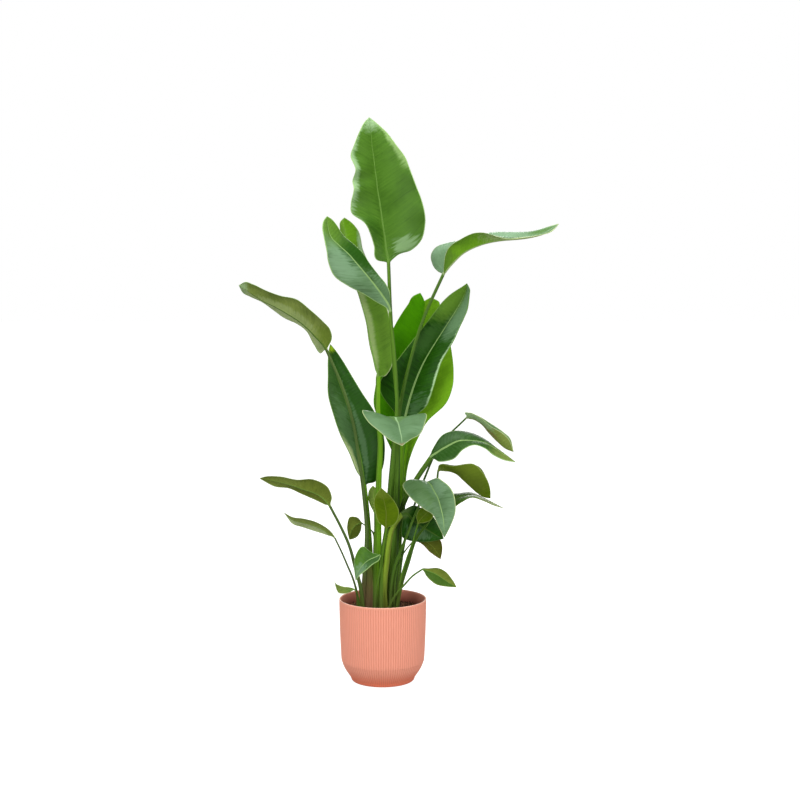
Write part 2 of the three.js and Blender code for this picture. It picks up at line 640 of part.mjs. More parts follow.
// The blade's rings: each half runs from the midrib's channel to its edge, a little arched and waved at
// the edge, and both faces lie half the thickness from it.
function bladeRings(leaf, curves, columns) {
  const rowCount = DETAIL[leaf.size].rowsPerSection * curves.bladeSpans;
  const sections = Array.from({ length: rowCount }, (_, i) => crossSection(curves, (i + 1) / rowCount));
  if (leaf.tip) openTip(sections.at(-1), sections.at(-2));
  return sections.map(({ rib, edges, normals, upward, sideways }, i) => {
    const along = (i + 1) / rowCount;
    const narrower = Math.min(...edges.map((edge) => edge.distanceTo(rib)));
    const channel = Math.min(CHANNEL_HALF_WIDTH * leaf.radius[1] * (1 - along), CHANNEL_SHARE * narrower);
    const face = (v, sign) => {
      const half = v < 0 ? 0 : 1;
      const start = rib.clone().addScaledVector(sideways, channel * Math.sign(v));
      const reach = edges[half].clone().sub(start);
      const normal = v === 0 ? upward : normals[half];
      const bulge = leaf.arch * reach.length() * 4 * Math.abs(v) * (1 - Math.abs(v));
      const turn = 2 * Math.PI * leaf.waves * along + leaf.lead + half * WAVE_LEAD_ACROSS;
      const ripple = Math.min(leaf.wave, HIGHEST_WAVE * reach.length()) * v * v * Math.sin(turn);
      const thickness = BLADE_THICKNESS + (EDGE_THICKNESS - BLADE_THICKNESS) * Math.abs(v);
      const keel = v === 0 && sign < 0 ? KEEL_DEPTH * leaf.radius[1] * (1 - along) : 0;
      const height = bulge + ripple + sign * (thickness / 2 + keel);
      return start.addScaledVector(reach, Math.abs(v)).addScaledVector(normal, height);
    };
    return [...columns.map((v) => face(v, 1)), ...columns.map((v) => face(v, -1))];
  });
}

// Joins rings of upper and lower points into one closed skin, both faces split into triangles alike.
function skin(rings) {
  const width = rings[0].length / 2;
  const upper = (i, k) => i * 2 * width + k;
  const lower = (i, k) => upper(i, k) + width;
  const triangles = [];
  const quad = (a, b, c, d) => triangles.push(a, b, c, a, c, d);
  for (let i = 0; i + 1 < rings.length; i++) {
    for (let k = 0; k + 1 < width; k++) {
      quad(upper(i, k), upper(i, k + 1), upper(i + 1, k + 1), upper(i + 1, k));
      triangles.push(lower(i, k), lower(i + 1, k + 1), lower(i, k + 1));
      triangles.push(lower(i, k), lower(i + 1, k), lower(i + 1, k + 1));
    }
    quad(lower(i, 0), upper(i, 0), upper(i + 1, 0), lower(i + 1, 0));
    quad(lower(i, width - 1), lower(i + 1, width - 1), upper(i + 1, width - 1), upper(i, width - 1));
  }
  const end = rings.length - 1;
  for (let k = 0; k + 1 < width; k++) {
    quad(lower(0, k), lower(0, k + 1), upper(0, k + 1), upper(0, k));
    quad(lower(end, k), upper(end, k), upper(end, k + 1), lower(end, k + 1));
  }
  return geometryFrom(rings.flat(), triangles);
}

// The stretch of a stalk that stands in the soil is straight, under the stalk's first ring.
function makeLeaf(leaf) {
  const { columns } = DETAIL[leaf.size];
  const curves = leafCurves(leaf);
  const stalk = stalkRings(leaf, curves, 2 * columns.length);
  const sunk = stalk[0].map((p) => new THREE.Vector3(p.x, p.y, SOIL_TOP - STALK_SUNK));
  return skin([sunk, ...stalk, ...bladeRings(leaf, curves, columns)]);
}

// The plain upright hole that a stalk stands in, a little wider and deeper than the stalk.
function makeHole({ foot, radius }) {
  const bottom = SOIL_TOP - STALK_SUNK - CLEARANCE;
  const height = SOIL_TOP + CUT_PAST - bottom;
  const toCorner = (radius[0] + CLEARANCE) / Math.cos(Math.PI / HOLE_SIDES);
  const hole = new THREE.CylinderGeometry(toCorner, toCorner, height, HOLE_SIDES);
  return solidFrom(hole.rotateX(Math.PI / 2).translate(...foot, bottom + height / 2));
}

// The soil fills the pot and is slightly higher in its middle.
function makeSoil(leaves) {
  const rings = innerRings(CLEARANCE, FLOOR + CLEARANCE, SOIL_TOP - SOIL_EDGE_DROP);
  const top = ring(INNER_SIDES, SOIL_TOP, () => innerRadiusAt(SOIL_TOP) * MOUND_SHARE);
  let soil = solidFrom(stackedRings([...rings, top]));
  for (const leaf of leaves) soil = soil.subtract(makeHole(leaf));
  return soil;
}

const leaves = Object.entries(LEAVES).map(([name, leaf], i) => ({ name, lead: WAVE_LEAD * i, ...leaf }));

addMesh("pot", geometryOf(makePot()), ...POT_FINISH);
addMesh("soil", geometryOf(makeSoil(leaves)), ...SOIL_FINISH);
for (const leaf of leaves) addMesh(leaf.name, makeLeaf(leaf), leaf.colour, LEAF_ROUGHNESS);

export default plant;
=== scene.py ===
import math

import bmesh
import bpy
import numpy as np
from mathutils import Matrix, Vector


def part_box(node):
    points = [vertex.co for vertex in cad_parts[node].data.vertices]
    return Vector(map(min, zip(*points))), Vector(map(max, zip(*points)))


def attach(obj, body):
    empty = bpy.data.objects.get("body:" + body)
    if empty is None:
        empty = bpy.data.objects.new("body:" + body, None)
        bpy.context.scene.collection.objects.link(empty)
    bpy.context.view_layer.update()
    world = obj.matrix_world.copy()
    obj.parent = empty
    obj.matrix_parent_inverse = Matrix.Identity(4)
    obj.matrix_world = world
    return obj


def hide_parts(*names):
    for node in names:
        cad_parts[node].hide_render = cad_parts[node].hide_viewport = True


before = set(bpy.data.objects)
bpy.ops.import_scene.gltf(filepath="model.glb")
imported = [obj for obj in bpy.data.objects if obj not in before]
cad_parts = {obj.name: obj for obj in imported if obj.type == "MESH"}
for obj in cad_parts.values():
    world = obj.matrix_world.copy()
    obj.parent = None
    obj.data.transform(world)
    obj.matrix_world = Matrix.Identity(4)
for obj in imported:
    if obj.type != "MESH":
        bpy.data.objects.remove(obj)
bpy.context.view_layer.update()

# ------------------------------------------------------------
# The pot: one thin shell of matt salmon plastic, moulded with narrow upright ribs all round, a rounded
# lower body over a slightly tapered foot ring, and a plain thin rim.
POT_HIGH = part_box("pot")[1]
POT_HEIGHT = POT_HIGH.z
RIM_RADIUS = POT_HIGH.x
FOOT_RADIUS = 0.079
FOOT_TOP = (0.0812, 0.0075)
BODY_BENDS = (
    (0.0868, 0.0158), (0.0926, 0.0245), (0.0984, 0.0345), (0.1027, 0.046), (0.1053, 0.060), (0.1084, 0.13),
)
BODY_STEPS = 6
FOOT_EDGE = 0.0016
RIM_BAND = 0.0045
RIM_ROUNDING = 0.001
POT_WALL = 0.0028
WALL_EXTRA = 0.0006
POT_FLOOR = 0.004
RIB_COUNT = 108
RIB_DEPTH = 0.0011
STEPS_PER_RIB = 8
RIB_SHARE_AT_FOOT = 0.4
RIBS_FULL_ABOVE_FOOT = 0.008
RIB_GROOVE_SHARPNESS = 1.6
# The ribs run out over the band under the rim: height above its edge, share of the full rib depth.
RIB_ENDS = ((0.0012, 0.35), (0.0022, 0))
MERGE_WITHIN = 1e-5
POT_COLOUR = "#f6a58c"
# Painted shade: the colour deepens to this tone from the height on the next line down to the foot.
POT_LOW_PAINTED_SHADE = "#f77f5c"
POT_LOW_PAINTED_SHADE_BELOW = 0.045
# Painted shade in the grooves between the ribs, and the tone that the mottle darkens towards.
POT_SHADE_AND_MOTTLE = "#d4785c"
# Painted highlight along the top of the rim, also the tint of the sheen.
POT_RIM_HIGHLIGHT = "#ffcdb2"
POT_SHEEN = 0.3
# Painted shade down the inside of the pot, from near the rim to deep inside.
POT_INSIDE_PAINTED_SHADE = ("#ea9480", "#904434")
INSIDE_PAINTED_SHADE_DEPTH = 0.04
GROOVE_SHADE = 0.62
GROOVE_SHADE_FADE = 0.002
MOTTLE_SHADE = 0.12
MOTTLE_SCALE = 35
RIM_HIGHLIGHT_STRENGTH = 0.8
POT_ROUGHNESS = 0.5
GRAIN_SCALE = 2600
GRAIN_SPREAD = (0.2, 0.8)
GRAIN_ROUGHNESS = (-0.06, 0.08)
GRAIN_STRENGTH = 0.12
GRAIN_HEIGHT = 0.0003


def linear(hex_colour):
    """The scene-linear colour of a hex colour."""
    parts = [int(hex_colour[i : i + 2], 16) / 255 for i in (1, 3, 5)]
    return [c / 12.92 if c <= 0.04045 else ((c + 0.055) / 1.055) ** 2.4 for c in parts] + [1]


def feed(tree, node, inputs):
    """Fills a node's inputs: socket name or number -> a value, a hex colour or an output to link."""
    for key, value in inputs.items():
        if isinstance(value, bpy.types.NodeSocket):
            tree.links.new(value, node.inputs[key])
        elif isinstance(value, str) and value.startswith("#"):
            node.inputs[key].default_value = linear(value)
        else:
            node.inputs[key].default_value = value


def add_node(tree, kind, inputs=None, **settings):
    """A node of that kind, with inputs as feed takes them."""
    made = tree.nodes.new(kind)
    for key, value in settings.items():
        setattr(made, key, value)
    feed(tree, made, inputs or {})
    return made


def result_of(tree, kind, inputs=None, **settings):
    """The first output of a new node of that kind."""
    return add_node(tree, kind, inputs, **settings).outputs[0]


def calc(tree, operation, *values):
    """The result of one math node."""
    return result_of(tree, "ShaderNodeMath", dict(enumerate(values)), operation=operation)


def times(tree, a, b):
    """Two values multiplied."""
    return calc(tree, "MULTIPLY", a, b)


def plus(tree, a, b):
    """Two values added."""
    return calc(tree, "ADD", a, b)


def minus(tree, a, b):
    """The second value taken from the first."""
    return calc(tree, "SUBTRACT", a, b)


def split(tree, vector):
    """The three parts of a vector."""
    return add_node(tree, "ShaderNodeSeparateXYZ", {0: vector}).outputs


def vector_of(tree, *parts):
    """The vector of up to three parts."""
    return result_of(tree, "ShaderNodeCombineXYZ", dict(enumerate(parts)))


def ramp(tree, value, low, high, to_low=0.0, to_high=1.0):
    """A smooth step of the value, from to_low at low to to_high at high. A named tuple of values for a ramp
    holds these in turn."""
    inputs = {0: value, 1: low, 2: high, 3: to_low, 4: to_high}
    return result_of(tree, "ShaderNodeMapRange", inputs, interpolation_type="SMOOTHSTEP")


def blend(tree, share, below, above, mode="MIX"):
    """One colour laid over another, or multiplied into it."""
    inputs = {"Factor": share, 6: below, 7: above}
    return add_node(tree, "ShaderNodeMix", inputs, data_type="RGBA", blend_type=mode).outputs[2]


def noise(tree, vector, scale, detail=2.0):
    """Smooth noise from 0 to 1."""
    inputs = {"Vector": vector, "Scale": scale, "Detail": detail}
    return result_of(tree, "ShaderNodeTexNoise", inputs)


def object_place(tree):
    """Where the point lies on the object."""
    return add_node(tree, "ShaderNodeTexCoord").outputs["Object"]


def sockets(kind, *labels):
    """Named sockets of one kind, for new_group."""
    return [(label, "NodeSocket" + kind) for label in labels]


def new_group(name, kind, inputs, outputs):
    """A node group with named sockets that holds only its input node, and that node's outputs."""
    tree = bpy.data.node_groups.new(name, kind)
    for label, socket in inputs:
        tree.interface.new_socket(label, in_out="INPUT", socket_type=socket)
    for label, socket in outputs:
        tree.interface.new_socket(label, in_out="OUTPUT", socket_type=socket)
    return tree, tree.nodes.new("NodeGroupInput").outputs


def end_in_mesh(tree, given, geometry):
    """Ends a Geometry Nodes tree in Realize Instances and Set Material."""
    real = result_of(tree, "GeometryNodeRealizeInstances", {0: geometry})
    painted = result_of(tree, "GeometryNodeSetMaterial", {0: real, "Material": given["Material"]})
    add_node(tree, "NodeGroupOutput", {0: painted})


def new_material(name):
    """A material with one Principled shader, its tree and that shader."""
    made = bpy.data.materials.new(name)
    made.use_nodes = True
    return made, made.node_tree, made.node_tree.nodes["Principled BSDF"]


def relief(tree, height, strength, distance):
    """Normals for a relief in the surface, from a height."""
    return result_of(tree, "ShaderNodeBump", {"Strength": strength, "Distance": distance, "Height": height})


def new_object(name, data):
    """An object in the scene, of that mesh, light or camera."""
    made = bpy.data.objects.new(name, data)
    bpy.context.scene.collection.objects.link(made)
    return made


def add_piece(name, mesh, material, slot, *nodes):
    """A finished piece on the part's one body, standing for those CAD nodes."""
    piece = new_object(name, mesh)
    if not mesh.materials:
        mesh.materials.append(material)
    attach(piece, "root")
    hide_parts(*nodes)


def grown_mesh(name, start, tree, values):
    """The plain mesh that a Geometry Nodes tree makes of a starting mesh."""
    carrier = new_object(name, start)
    grower = carrier.modifiers.new(name, "NODES")
    grower.node_group = tree
    for socket in tree.interface.items_tree:
        if socket.name in values:
            grower[socket.identifier] = values[socket.name]
    evaluated = carrier.evaluated_get(bpy.context.evaluated_depsgraph_get())
    mesh = bpy.data.meshes.new_from_object(evaluated)
    mesh.name = name
    bpy.data.objects.remove(carrier)
    return mesh


def smooth_line(points, steps):
    """Points on a smooth curve through the given ones."""
    p = np.array([points[0], *points, points[-1]], float)
    line = []
    for a, b, c, d in zip(p, p[1:], p[2:], p[3:]):
        for t in np.arange(steps) / steps:
            bends = (2 * a - 5 * b + 4 * c - d) * t**2 + (3 * b - a - 3 * c + d) * t**3
            line.append(0.5 * (2 * b + (c - a) * t + bends))
    return [*line, p[-1]]


def pot_profile():
    """The shell's section from the middle of the underside round to the middle of the inside. Each point is
    (radius, height, share of the full rib depth, 1 on the inside)."""
    rib_top = POT_HEIGHT - RIM_BAND
    inner_radius = RIM_RADIUS - POT_WALL
    edge = RIM_ROUNDING
    foot_share = RIB_SHARE_AT_FOOT
    body = smooth_line([FOOT_TOP, *BODY_BENDS, (RIM_RADIUS, rib_top)], BODY_STEPS)
    outside = [(0, 0, 0), (FOOT_RADIUS - 2 * FOOT_EDGE, 0, 0)]
    outside.append((FOOT_RADIUS - FOOT_EDGE / 2, FOOT_EDGE / 4, 0))
    outside.append((FOOT_RADIUS + FOOT_EDGE / 3, FOOT_EDGE, 0.75 * foot_share))
    outside.append((FOOT_TOP[0] - FOOT_EDGE / 4, FOOT_TOP[1] - FOOT_EDGE * 1.25, foot_share))
    for radius, z in body:
        risen = (z - FOOT_TOP[1]) / RIBS_FULL_ABOVE_FOOT
        outside.append((radius, z, min(1, foot_share + (1 - foot_share) * risen)))
    rim = [(RIM_RADIUS, rib_top + up, share) for up, share in RIB_ENDS]
    rim += [(RIM_RADIUS, POT_HEIGHT - edge, 0), (RIM_RADIUS - 0.4 * edge, POT_HEIGHT - 0.2 * edge, 0)]
    rim += [(RIM_RADIUS - edge, POT_HEIGHT, 0), (inner_radius + edge, POT_HEIGHT, 0)]
    rim.append((inner_radius, POT_HEIGHT - edge, 0))
    inside = [(r - POT_WALL - WALL_EXTRA, max(z, POT_FLOOR), 0) for r, z in reversed(body)]
    inside.append((0, POT_FLOOR, 0))
    return [(*point, 0) for point in outside + rim] + [(*point, 1) for point in inside]


def ribbed_shell_tree():
    """Turns a profile line round the upright axis and presses the grooves between the ribs into it."""
    inputs = sockets("Geometry", "Profile") + sockets("Int", "Ribs", "Steps per rib")
    inputs += sockets("Float", "Rib depth", "Sharpness") + sockets("Material", "Material")
    tree, given = new_group("ribbed_shell", "GeometryNodeTree", inputs, sockets("Geometry", "Shell"))
    profile = given["Profile"]
    rows = result_of(tree, "GeometryNodeAttributeDomainSize", {0: profile}, component="MESH")
    columns = times(tree, given["Ribs"], given["Steps per rib"])
    grid_inputs = {"Vertices X": plus(tree, columns, 1), "Vertices Y": rows}
    grid = add_node(tree, "GeometryNodeMeshGrid", grid_inputs).outputs["Mesh"]
    index = result_of(tree, "GeometryNodeInputIndex")
    column = calc(tree, "FLOOR", calc(tree, "DIVIDE", plus(tree, index, 0.5), rows))
    row = minus(tree, index, times(tree, column, rows))

    def on_profile(value, kind="FLOAT"):
        """That value at the profile's point of this row."""
        return result_of(tree, "GeometryNodeSampleIndex", {0: profile, 1: value, 2: row}, data_type=kind)

    def stored(name):
        """A number stored on the profile's points."""
        return result_of(tree, "GeometryNodeInputNamedAttribute", {"Name": name}, data_type="FLOAT")

    spot = split(tree, on_profile(result_of(tree, "GeometryNodeInputPosition"), "FLOAT_VECTOR"))
    angle = times(tree, calc(tree, "DIVIDE", column, columns), 2 * math.pi)
    wave = calc(tree, "COSINE", times(tree, angle, given["Ribs"]))
    groove = calc(tree, "POWER", calc(tree, "MULTIPLY_ADD", wave, -0.5, 0.5), given["Sharpness"])
    pressed = times(tree, times(tree, groove, on_profile(stored("ribs"))), given["Rib depth"])
    radius = minus(tree, spot[0], pressed)
    x = times(tree, radius, calc(tree, "COSINE", angle))
    y = times(tree, radius, calc(tree, "SINE", angle))
    inputs = {"Geometry": grid, "Position": vector_of(tree, x, y, spot[2])}
    shell = result_of(tree, "GeometryNodeSetPosition", inputs)
    inputs = {"Geometry": shell, "Name": "inner", "Value": on_profile(stored("inner"))}
    marked = result_of(tree, "GeometryNodeStoreNamedAttribute", inputs, data_type="FLOAT")
    closed = result_of(tree, "GeometryNodeMergeByDistance", {"Geometry": marked, "Distance": MERGE_WITHIN})
    smooth = result_of(tree, "GeometryNodeSetShadeSmooth", {0: closed})
    end_in_mesh(tree, given, smooth)
    return tree


def pot_material():
    """Matt plastic: an even colour with painted shade in the grooves, towards the foot and down the inside,
    a painted highlight along the top of the rim, mottled, with a fine moulded grain."""
    made, tree, shader = new_material("pot_plastic")
    place = object_place(tree)
    x, y, height = split(tree, place)
    around = times(tree, calc(tree, "ARCTAN2", y, x), RIB_COUNT)
    groove = calc(tree, "POWER", calc(tree, "MULTIPLY_ADD", calc(tree, "COSINE", around), -0.5, 0.5), 2)
    rib_top = POT_HEIGHT - RIM_BAND
    # Painted shade in the grooves between the ribs, fading out under the rim band; the mottle darkens towards
    # the same tone.
    below_rim = ramp(tree, height, rib_top, rib_top - GROOVE_SHADE_FADE)
    shade = times(tree, times(tree, groove, below_rim), GROOVE_SHADE)
    shade = plus(tree, shade, times(tree, noise(tree, place, MOTTLE_SCALE, 3), MOTTLE_SHADE))
    # Painted shade: the colour deepens towards the foot.
    body = blend(tree, ramp(tree, height, POT_LOW_PAINTED_SHADE_BELOW, 0), POT_COLOUR, POT_LOW_PAINTED_SHADE)
    colour = blend(tree, shade, body, POT_SHADE_AND_MOTTLE)
    # Painted highlight along the top of the rim.
    rim_highlight_start = POT_HEIGHT - 1.2 * RIM_ROUNDING
    rim = ramp(tree, height, rim_highlight_start, rim_highlight_start + RIM_ROUNDING, 0, RIM_HIGHLIGHT_STRENGTH)
    colour = blend(tree, rim, colour, POT_RIM_HIGHLIGHT)
    # Painted shade: the inside darkens with depth below the rim.
    depth = ramp(tree, height, POT_HEIGHT - RIM_ROUNDING, POT_HEIGHT - INSIDE_PAINTED_SHADE_DEPTH)
    inner = add_node(tree, "ShaderNodeAttribute", attribute_name="inner").outputs["Fac"]
    colour = blend(tree, inner, colour, blend(tree, depth, *POT_INSIDE_PAINTED_SHADE))
    grain = noise(tree, place, GRAIN_SCALE, 2)
    rough = ramp(tree, grain, *GRAIN_SPREAD, *[POT_ROUGHNESS + change for change in GRAIN_ROUGHNESS])
    feed(tree, shader, {"Base Color": colour, "Roughness": rough, "Sheen Weight": POT_SHEEN})
    feed(tree, shader, {"Sheen Tint": POT_RIM_HIGHLIGHT, "Normal": relief(tree, grain, GRAIN_STRENGTH, GRAIN_HEIGHT)})
    return made


profile = pot_profile()
profile_line = bpy.data.meshes.new("pot_profile")
profile_edges = [(i, i + 1) for i in range(len(profile) - 1)]
profile_line.from_pydata([(r, 0, z) for r, z, *_ in profile], profile_edges, [])
for name, values in zip(("ribs", "inner"), list(zip(*profile))[2:]):
    profile_line.attributes.new(name, "FLOAT", "POINT").data.foreach_set("value", values)
plastic = pot_material()
pot_sizes = {"Ribs": RIB_COUNT, "Steps per rib": STEPS_PER_RIB, "Rib depth": RIB_DEPTH}
pot_sizes |= {"Sharpness": RIB_GROOVE_SHARPNESS, "Material": plastic}
pot_mesh = grown_mesh("ribbed_pot", profile_line, ribbed_shell_tree(), pot_sizes)
add_piece("ribbed_pot", pot_mesh, plastic, "pot_plastic", "pot")

# ------------------------------------------------------------
# The potting soil: dark peat, a little higher in the middle, with crumbs, bark chips and pale fibres lying
# on it. Each stalk stands in its own hole.
SOIL_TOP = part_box("soil")[1].z
SOIL_GAP = 0.0003
SOIL_UNEVEN = 0.0035
SOIL_TOP_BAND = 0.008
LEVEL_ENOUGH = 0.7
LUMP_SCALE = 60
LUMP_LEVEL = 0.6
CRUMB_SIZE = 0.0042
CRUMB_BUMPS = 1.4
CRUMB_BUMP_SCALE = 400
CRUMBS_PER_SQUARE_METRE = 60000
SMALLEST_CRUMB = 0.25
CHIP_SIZE = (0.012, 0.0035, 0.0014)
CHIPS_PER_SQUARE_METRE = 5200
SMALLEST_CHIP = 0.35
FULL_TURN = (6.3, 6.3, 6.3)
SOIL_SEED = 4
SOIL_ROUGHNESS = 0.92
BROWN_SCALE = 260
BROWN_SHARE = (0.35, 0.7)
PALE_SCALE = 330
PALE_SHARE = (0.76, 0.84, 0, 0.7)
SOIL_GRAIN_SCALE = 900
SOIL_GRAIN_STRENGTH = 0.5
SOIL_GRAIN_HEIGHT = 0.001
SOIL_DARK = "#2c150c"
SOIL_MID = "#704628"
SOIL_PALE = "#ad8358"


def scattered(tree, surface, top, what, per_area, seed, smallest):
    """Copies of a small piece lying every way on the surface, from that share of its size up to all of it."""
    inputs = {"Mesh": surface, "Selection": top, "Density": per_area, "Seed": seed}
    spots = result_of(tree, "GeometryNodeDistributePointsOnFaces", inputs)
    inputs = {1: FULL_TURN, "Seed": seed}
    turn = result_of(tree, "FunctionNodeRandomValue", inputs, data_type="FLOAT_VECTOR")
    inputs = {2: smallest, 3: 1.0, "Seed": plus(tree, seed, 1)}
    size = add_node(tree, "FunctionNodeRandomValue", inputs, data_type="FLOAT").outputs[1]
    inputs = {"Points": spots, "Instance": what, "Rotation": turn, "Scale": size}
    return result_of(tree, "GeometryNodeInstanceOnPoints", inputs)


def soil_tree():
    """Makes the top of the soil uneven and scatters crumbs and chips over it."""
    inputs = sockets("Geometry", "Soil") + sockets("Float", "Crumb size") + sockets("Vector", "Chip size")
    inputs += sockets("Float", "Uneven") + sockets("Int", "Seed") + sockets("Material", "Material")
    tree, given = new_group("potting_soil", "GeometryNodeTree", inputs, sockets("Geometry", "Soil"))
    fine = result_of(tree, "GeometryNodeSubdivideMesh", {0: given["Soil"], 1: 2})
    upward = split(tree, result_of(tree, "GeometryNodeInputNormal"))[2]
    place = result_of(tree, "GeometryNodeInputPosition")
    high = calc(tree, "GREATER_THAN", split(tree, place)[2], SOIL_TOP - SOIL_TOP_BAND)
    top = times(tree, calc(tree, "GREATER_THAN", upward, LEVEL_ENOUGH), high)
    lift = times(tree, minus(tree, noise(tree, place, LUMP_SCALE, 3), LUMP_LEVEL), given["Uneven"])
    offset = vector_of(tree, 0, 0, times(tree, lift, high))
    ground = result_of(tree, "GeometryNodeSetPosition", {"Geometry": fine, "Offset": offset})
    inputs = {"Segments": 8, "Rings": 5, "Radius": given["Crumb size"]}
    ball = add_node(tree, "GeometryNodeMeshUVSphere", inputs).outputs["Mesh"]
    bumps = add_node(tree, "ShaderNodeTexNoise", {"Vector": place, "Scale": CRUMB_BUMP_SCALE}).outputs[1]
    bumps = result_of(tree, "ShaderNodeVectorMath", {0: bumps, 1: (0.5, 0.5, 0.5)}, operation="SUBTRACT")
    inputs = {0: bumps, "Scale": CRUMB_SIZE * CRUMB_BUMPS}
    bumps = result_of(tree, "ShaderNodeVectorMath", inputs, operation="SCALE")
    crumb = result_of(tree, "GeometryNodeSetPosition", {"Geometry": ball, "Offset": bumps})
    chip = result_of(tree, "GeometryNodeMeshCube", {0: given["Chip size"], 1: 3})
    seed = given["Seed"]
    crumbs = scattered(tree, ground, top, crumb, CRUMBS_PER_SQUARE_METRE, seed, SMALLEST_CRUMB)
    chips = scattered(tree, ground, top, chip, CHIPS_PER_SQUARE_METRE, plus(tree, seed, 7), SMALLEST_CHIP)
    join = tree.nodes.new("GeometryNodeJoinGeometry")
    for part in (chips, crumbs, ground):
        tree.links.new(part, join.inputs[0])
    end_in_mesh(tree, given, join.outputs[0])
    return tree


def soil_material():
    """Peat from near black to brown, with pale bark and fibre among it."""
    made, tree, shader = new_material("soil")
    place = object_place(tree)
    brown = ramp(tree, noise(tree, place, BROWN_SCALE, 4), *BROWN_SHARE)
    colour = blend(tree, brown, SOIL_DARK, SOIL_MID)
    cells = add_node(tree, "ShaderNodeTexVoronoi", {"Vector": place, "Scale": PALE_SCALE}).outputs["Color"]
    chance = result_of(tree, "ShaderNodeSeparateColor", {0: cells})
    colour = blend(tree, ramp(tree, chance, *PALE_SHARE), colour, SOIL_PALE)
    grain = noise(tree, place, SOIL_GRAIN_SCALE, 3)
    normal = relief(tree, grain, SOIL_GRAIN_STRENGTH, SOIL_GRAIN_HEIGHT)
    feed(tree, shader, {"Base Color": colour, "Roughness": SOIL_ROUGHNESS, "Normal": normal})
    return made


soil_start = bpy.data.meshes.new("soil_start")
soil_mesh = bmesh.new()
soil_mesh.from_mesh(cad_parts["soil"].data)
bmesh.ops.remove_doubles(soil_mesh, verts=soil_mesh.verts, dist=MERGE_WITHIN)
wall_points = [(z, r - SOIL_GAP) for r, z, _, inner in reversed(profile) if inner and r > 0]
for vert in soil_mesh.verts:
    radius = math.hypot(vert.co.x, vert.co.y)
    widest = np.interp(vert.co.z, *zip(*wall_points))
    if radius > widest:
        vert.co.xy *= widest / radius
soil_mesh.to_mesh(soil_start)
soil_mesh.free()
peat = soil_material()
soil_sizes = {"Crumb size": CRUMB_SIZE / 2, "Chip size": CHIP_SIZE, "Uneven": SOIL_UNEVEN}
soil_sizes |= {"Seed": SOIL_SEED, "Material": peat}
soil_grown = grown_mesh("potting_soil", soil_start, soil_tree(), soil_sizes)
add_piece("potting_soil", soil_grown, peat, "soil", "soil")

# ------------------------------------------------------------
# How a leaf is made: a firm round stalk, grooved along its front, that runs on as the midrib of a long
# waxy blade with fine side veins, a thin pale margin and slightly pleated halves. Its shape is its CAD
# node's, read ring by ring from the foot to the tip and laid out more finely.
BLADE_THICKNESS = 0.0018
FINE_THICKNESS = 0.0016
FINE_EDGE_THICKNESS = 0.0007
CAD_COLUMNS = {7: (0.09, 0.55), 5: (0, 0.5)}
ACROSS = (
    0.025, 0.05, 0.075, 0.1, 0.14, 0.19, 0.25, 0.32, 0.4, 0.48, 0.56, 0.64, 0.72, 0.79, 0.86, 0.92, 0.965, 1,
)
BLADE_STEP = 0.0022
STALK_STEP = 0.012
STALK_GROOVE = 0.28
STALK_GROOVE_WIDTH = 0.55
SWELL_FADE = 1.5
RIB_HALF_WIDTH = 0.75
RIB_TAPER = 0.85
RIB_LEAST = 0.0002
RIB_GROOVE = 0.3
RIDGE_WIDTH = 1.5
BLADE_BEGINS = 0.01
PLEAT_HEIGHT = 0.00032
PLEAT_LENGTH = 0.0085
PLEATS_FROM_RIB = 0.8
PLEATS_FADE = 0.01
PLEATS_AT_MARGIN = 0.3
VEIN_LEAN = 0.42
VEIN_CURVE = 1.6
FRONT_OR_UP = Vector((0, -0.4, 1))
AWAY = Vector((0, 1, 0))
UPPER, UNDER, BOTH_FACES = 1.0, 0.0, 0.5


def following_ring(ring, seen):
    """The next ring of mesh points up the leaf, in step with this one, or None at the tip."""
    after = {}
    for vert in ring:
        for face in vert.link_faces:
            order = list(face.verts)
            start = order.index(vert)
            second, third = order[start - 2], order[start - 1]
            if second not in seen and third not in seen:
                after[second] = third
    if not after:
        return None
    loop = [next(iter(after))]
    while len(loop) < len(ring):
        loop.append(after[loop[-1]])
    edges = {frozenset(v.index for v in edge.verts) for vert in ring for edge in vert.link_edges}
    count = len(ring)

    def misfit(order):
        pairs = list(zip(ring, order))
        missing = sum(frozenset((a.index, b.index)) not in edges for a, b in pairs)
        return missing + sum((a.co - b.co).length for a, b in pairs)

    turns = [way[i:] + way[:i] for way in (loop, loop[::-1]) for i in range(count)]
    return min(turns, key=misfit)


def cad_rings(node):
    """All rings of a leaf's CAD node, as points [ring][place round it]."""
    mesh = bmesh.new()
    mesh.from_mesh(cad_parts[node].data)
    bmesh.ops.remove_doubles(mesh, verts=mesh.verts, dist=MERGE_WITHIN)
    mesh.verts.index_update()
    lowest = min(v.co.z for v in mesh.verts)
    ring = [v for v in mesh.verts if v.co.z < lowest + MERGE_WITHIN]
    centre = sum((v.co for v in ring), Vector()) / len(ring)
    ring.sort(key=lambda v: math.atan2(v.co.y - centre.y, v.co.x - centre.x))
    rings, seen = [], set()
    while ring:
        rings.append(ring)
        seen.update(ring)
        ring = following_ring(ring, seen)
    points = np.array([[v.co for v in r] for r in rings], float)
    mesh.free()
    return points


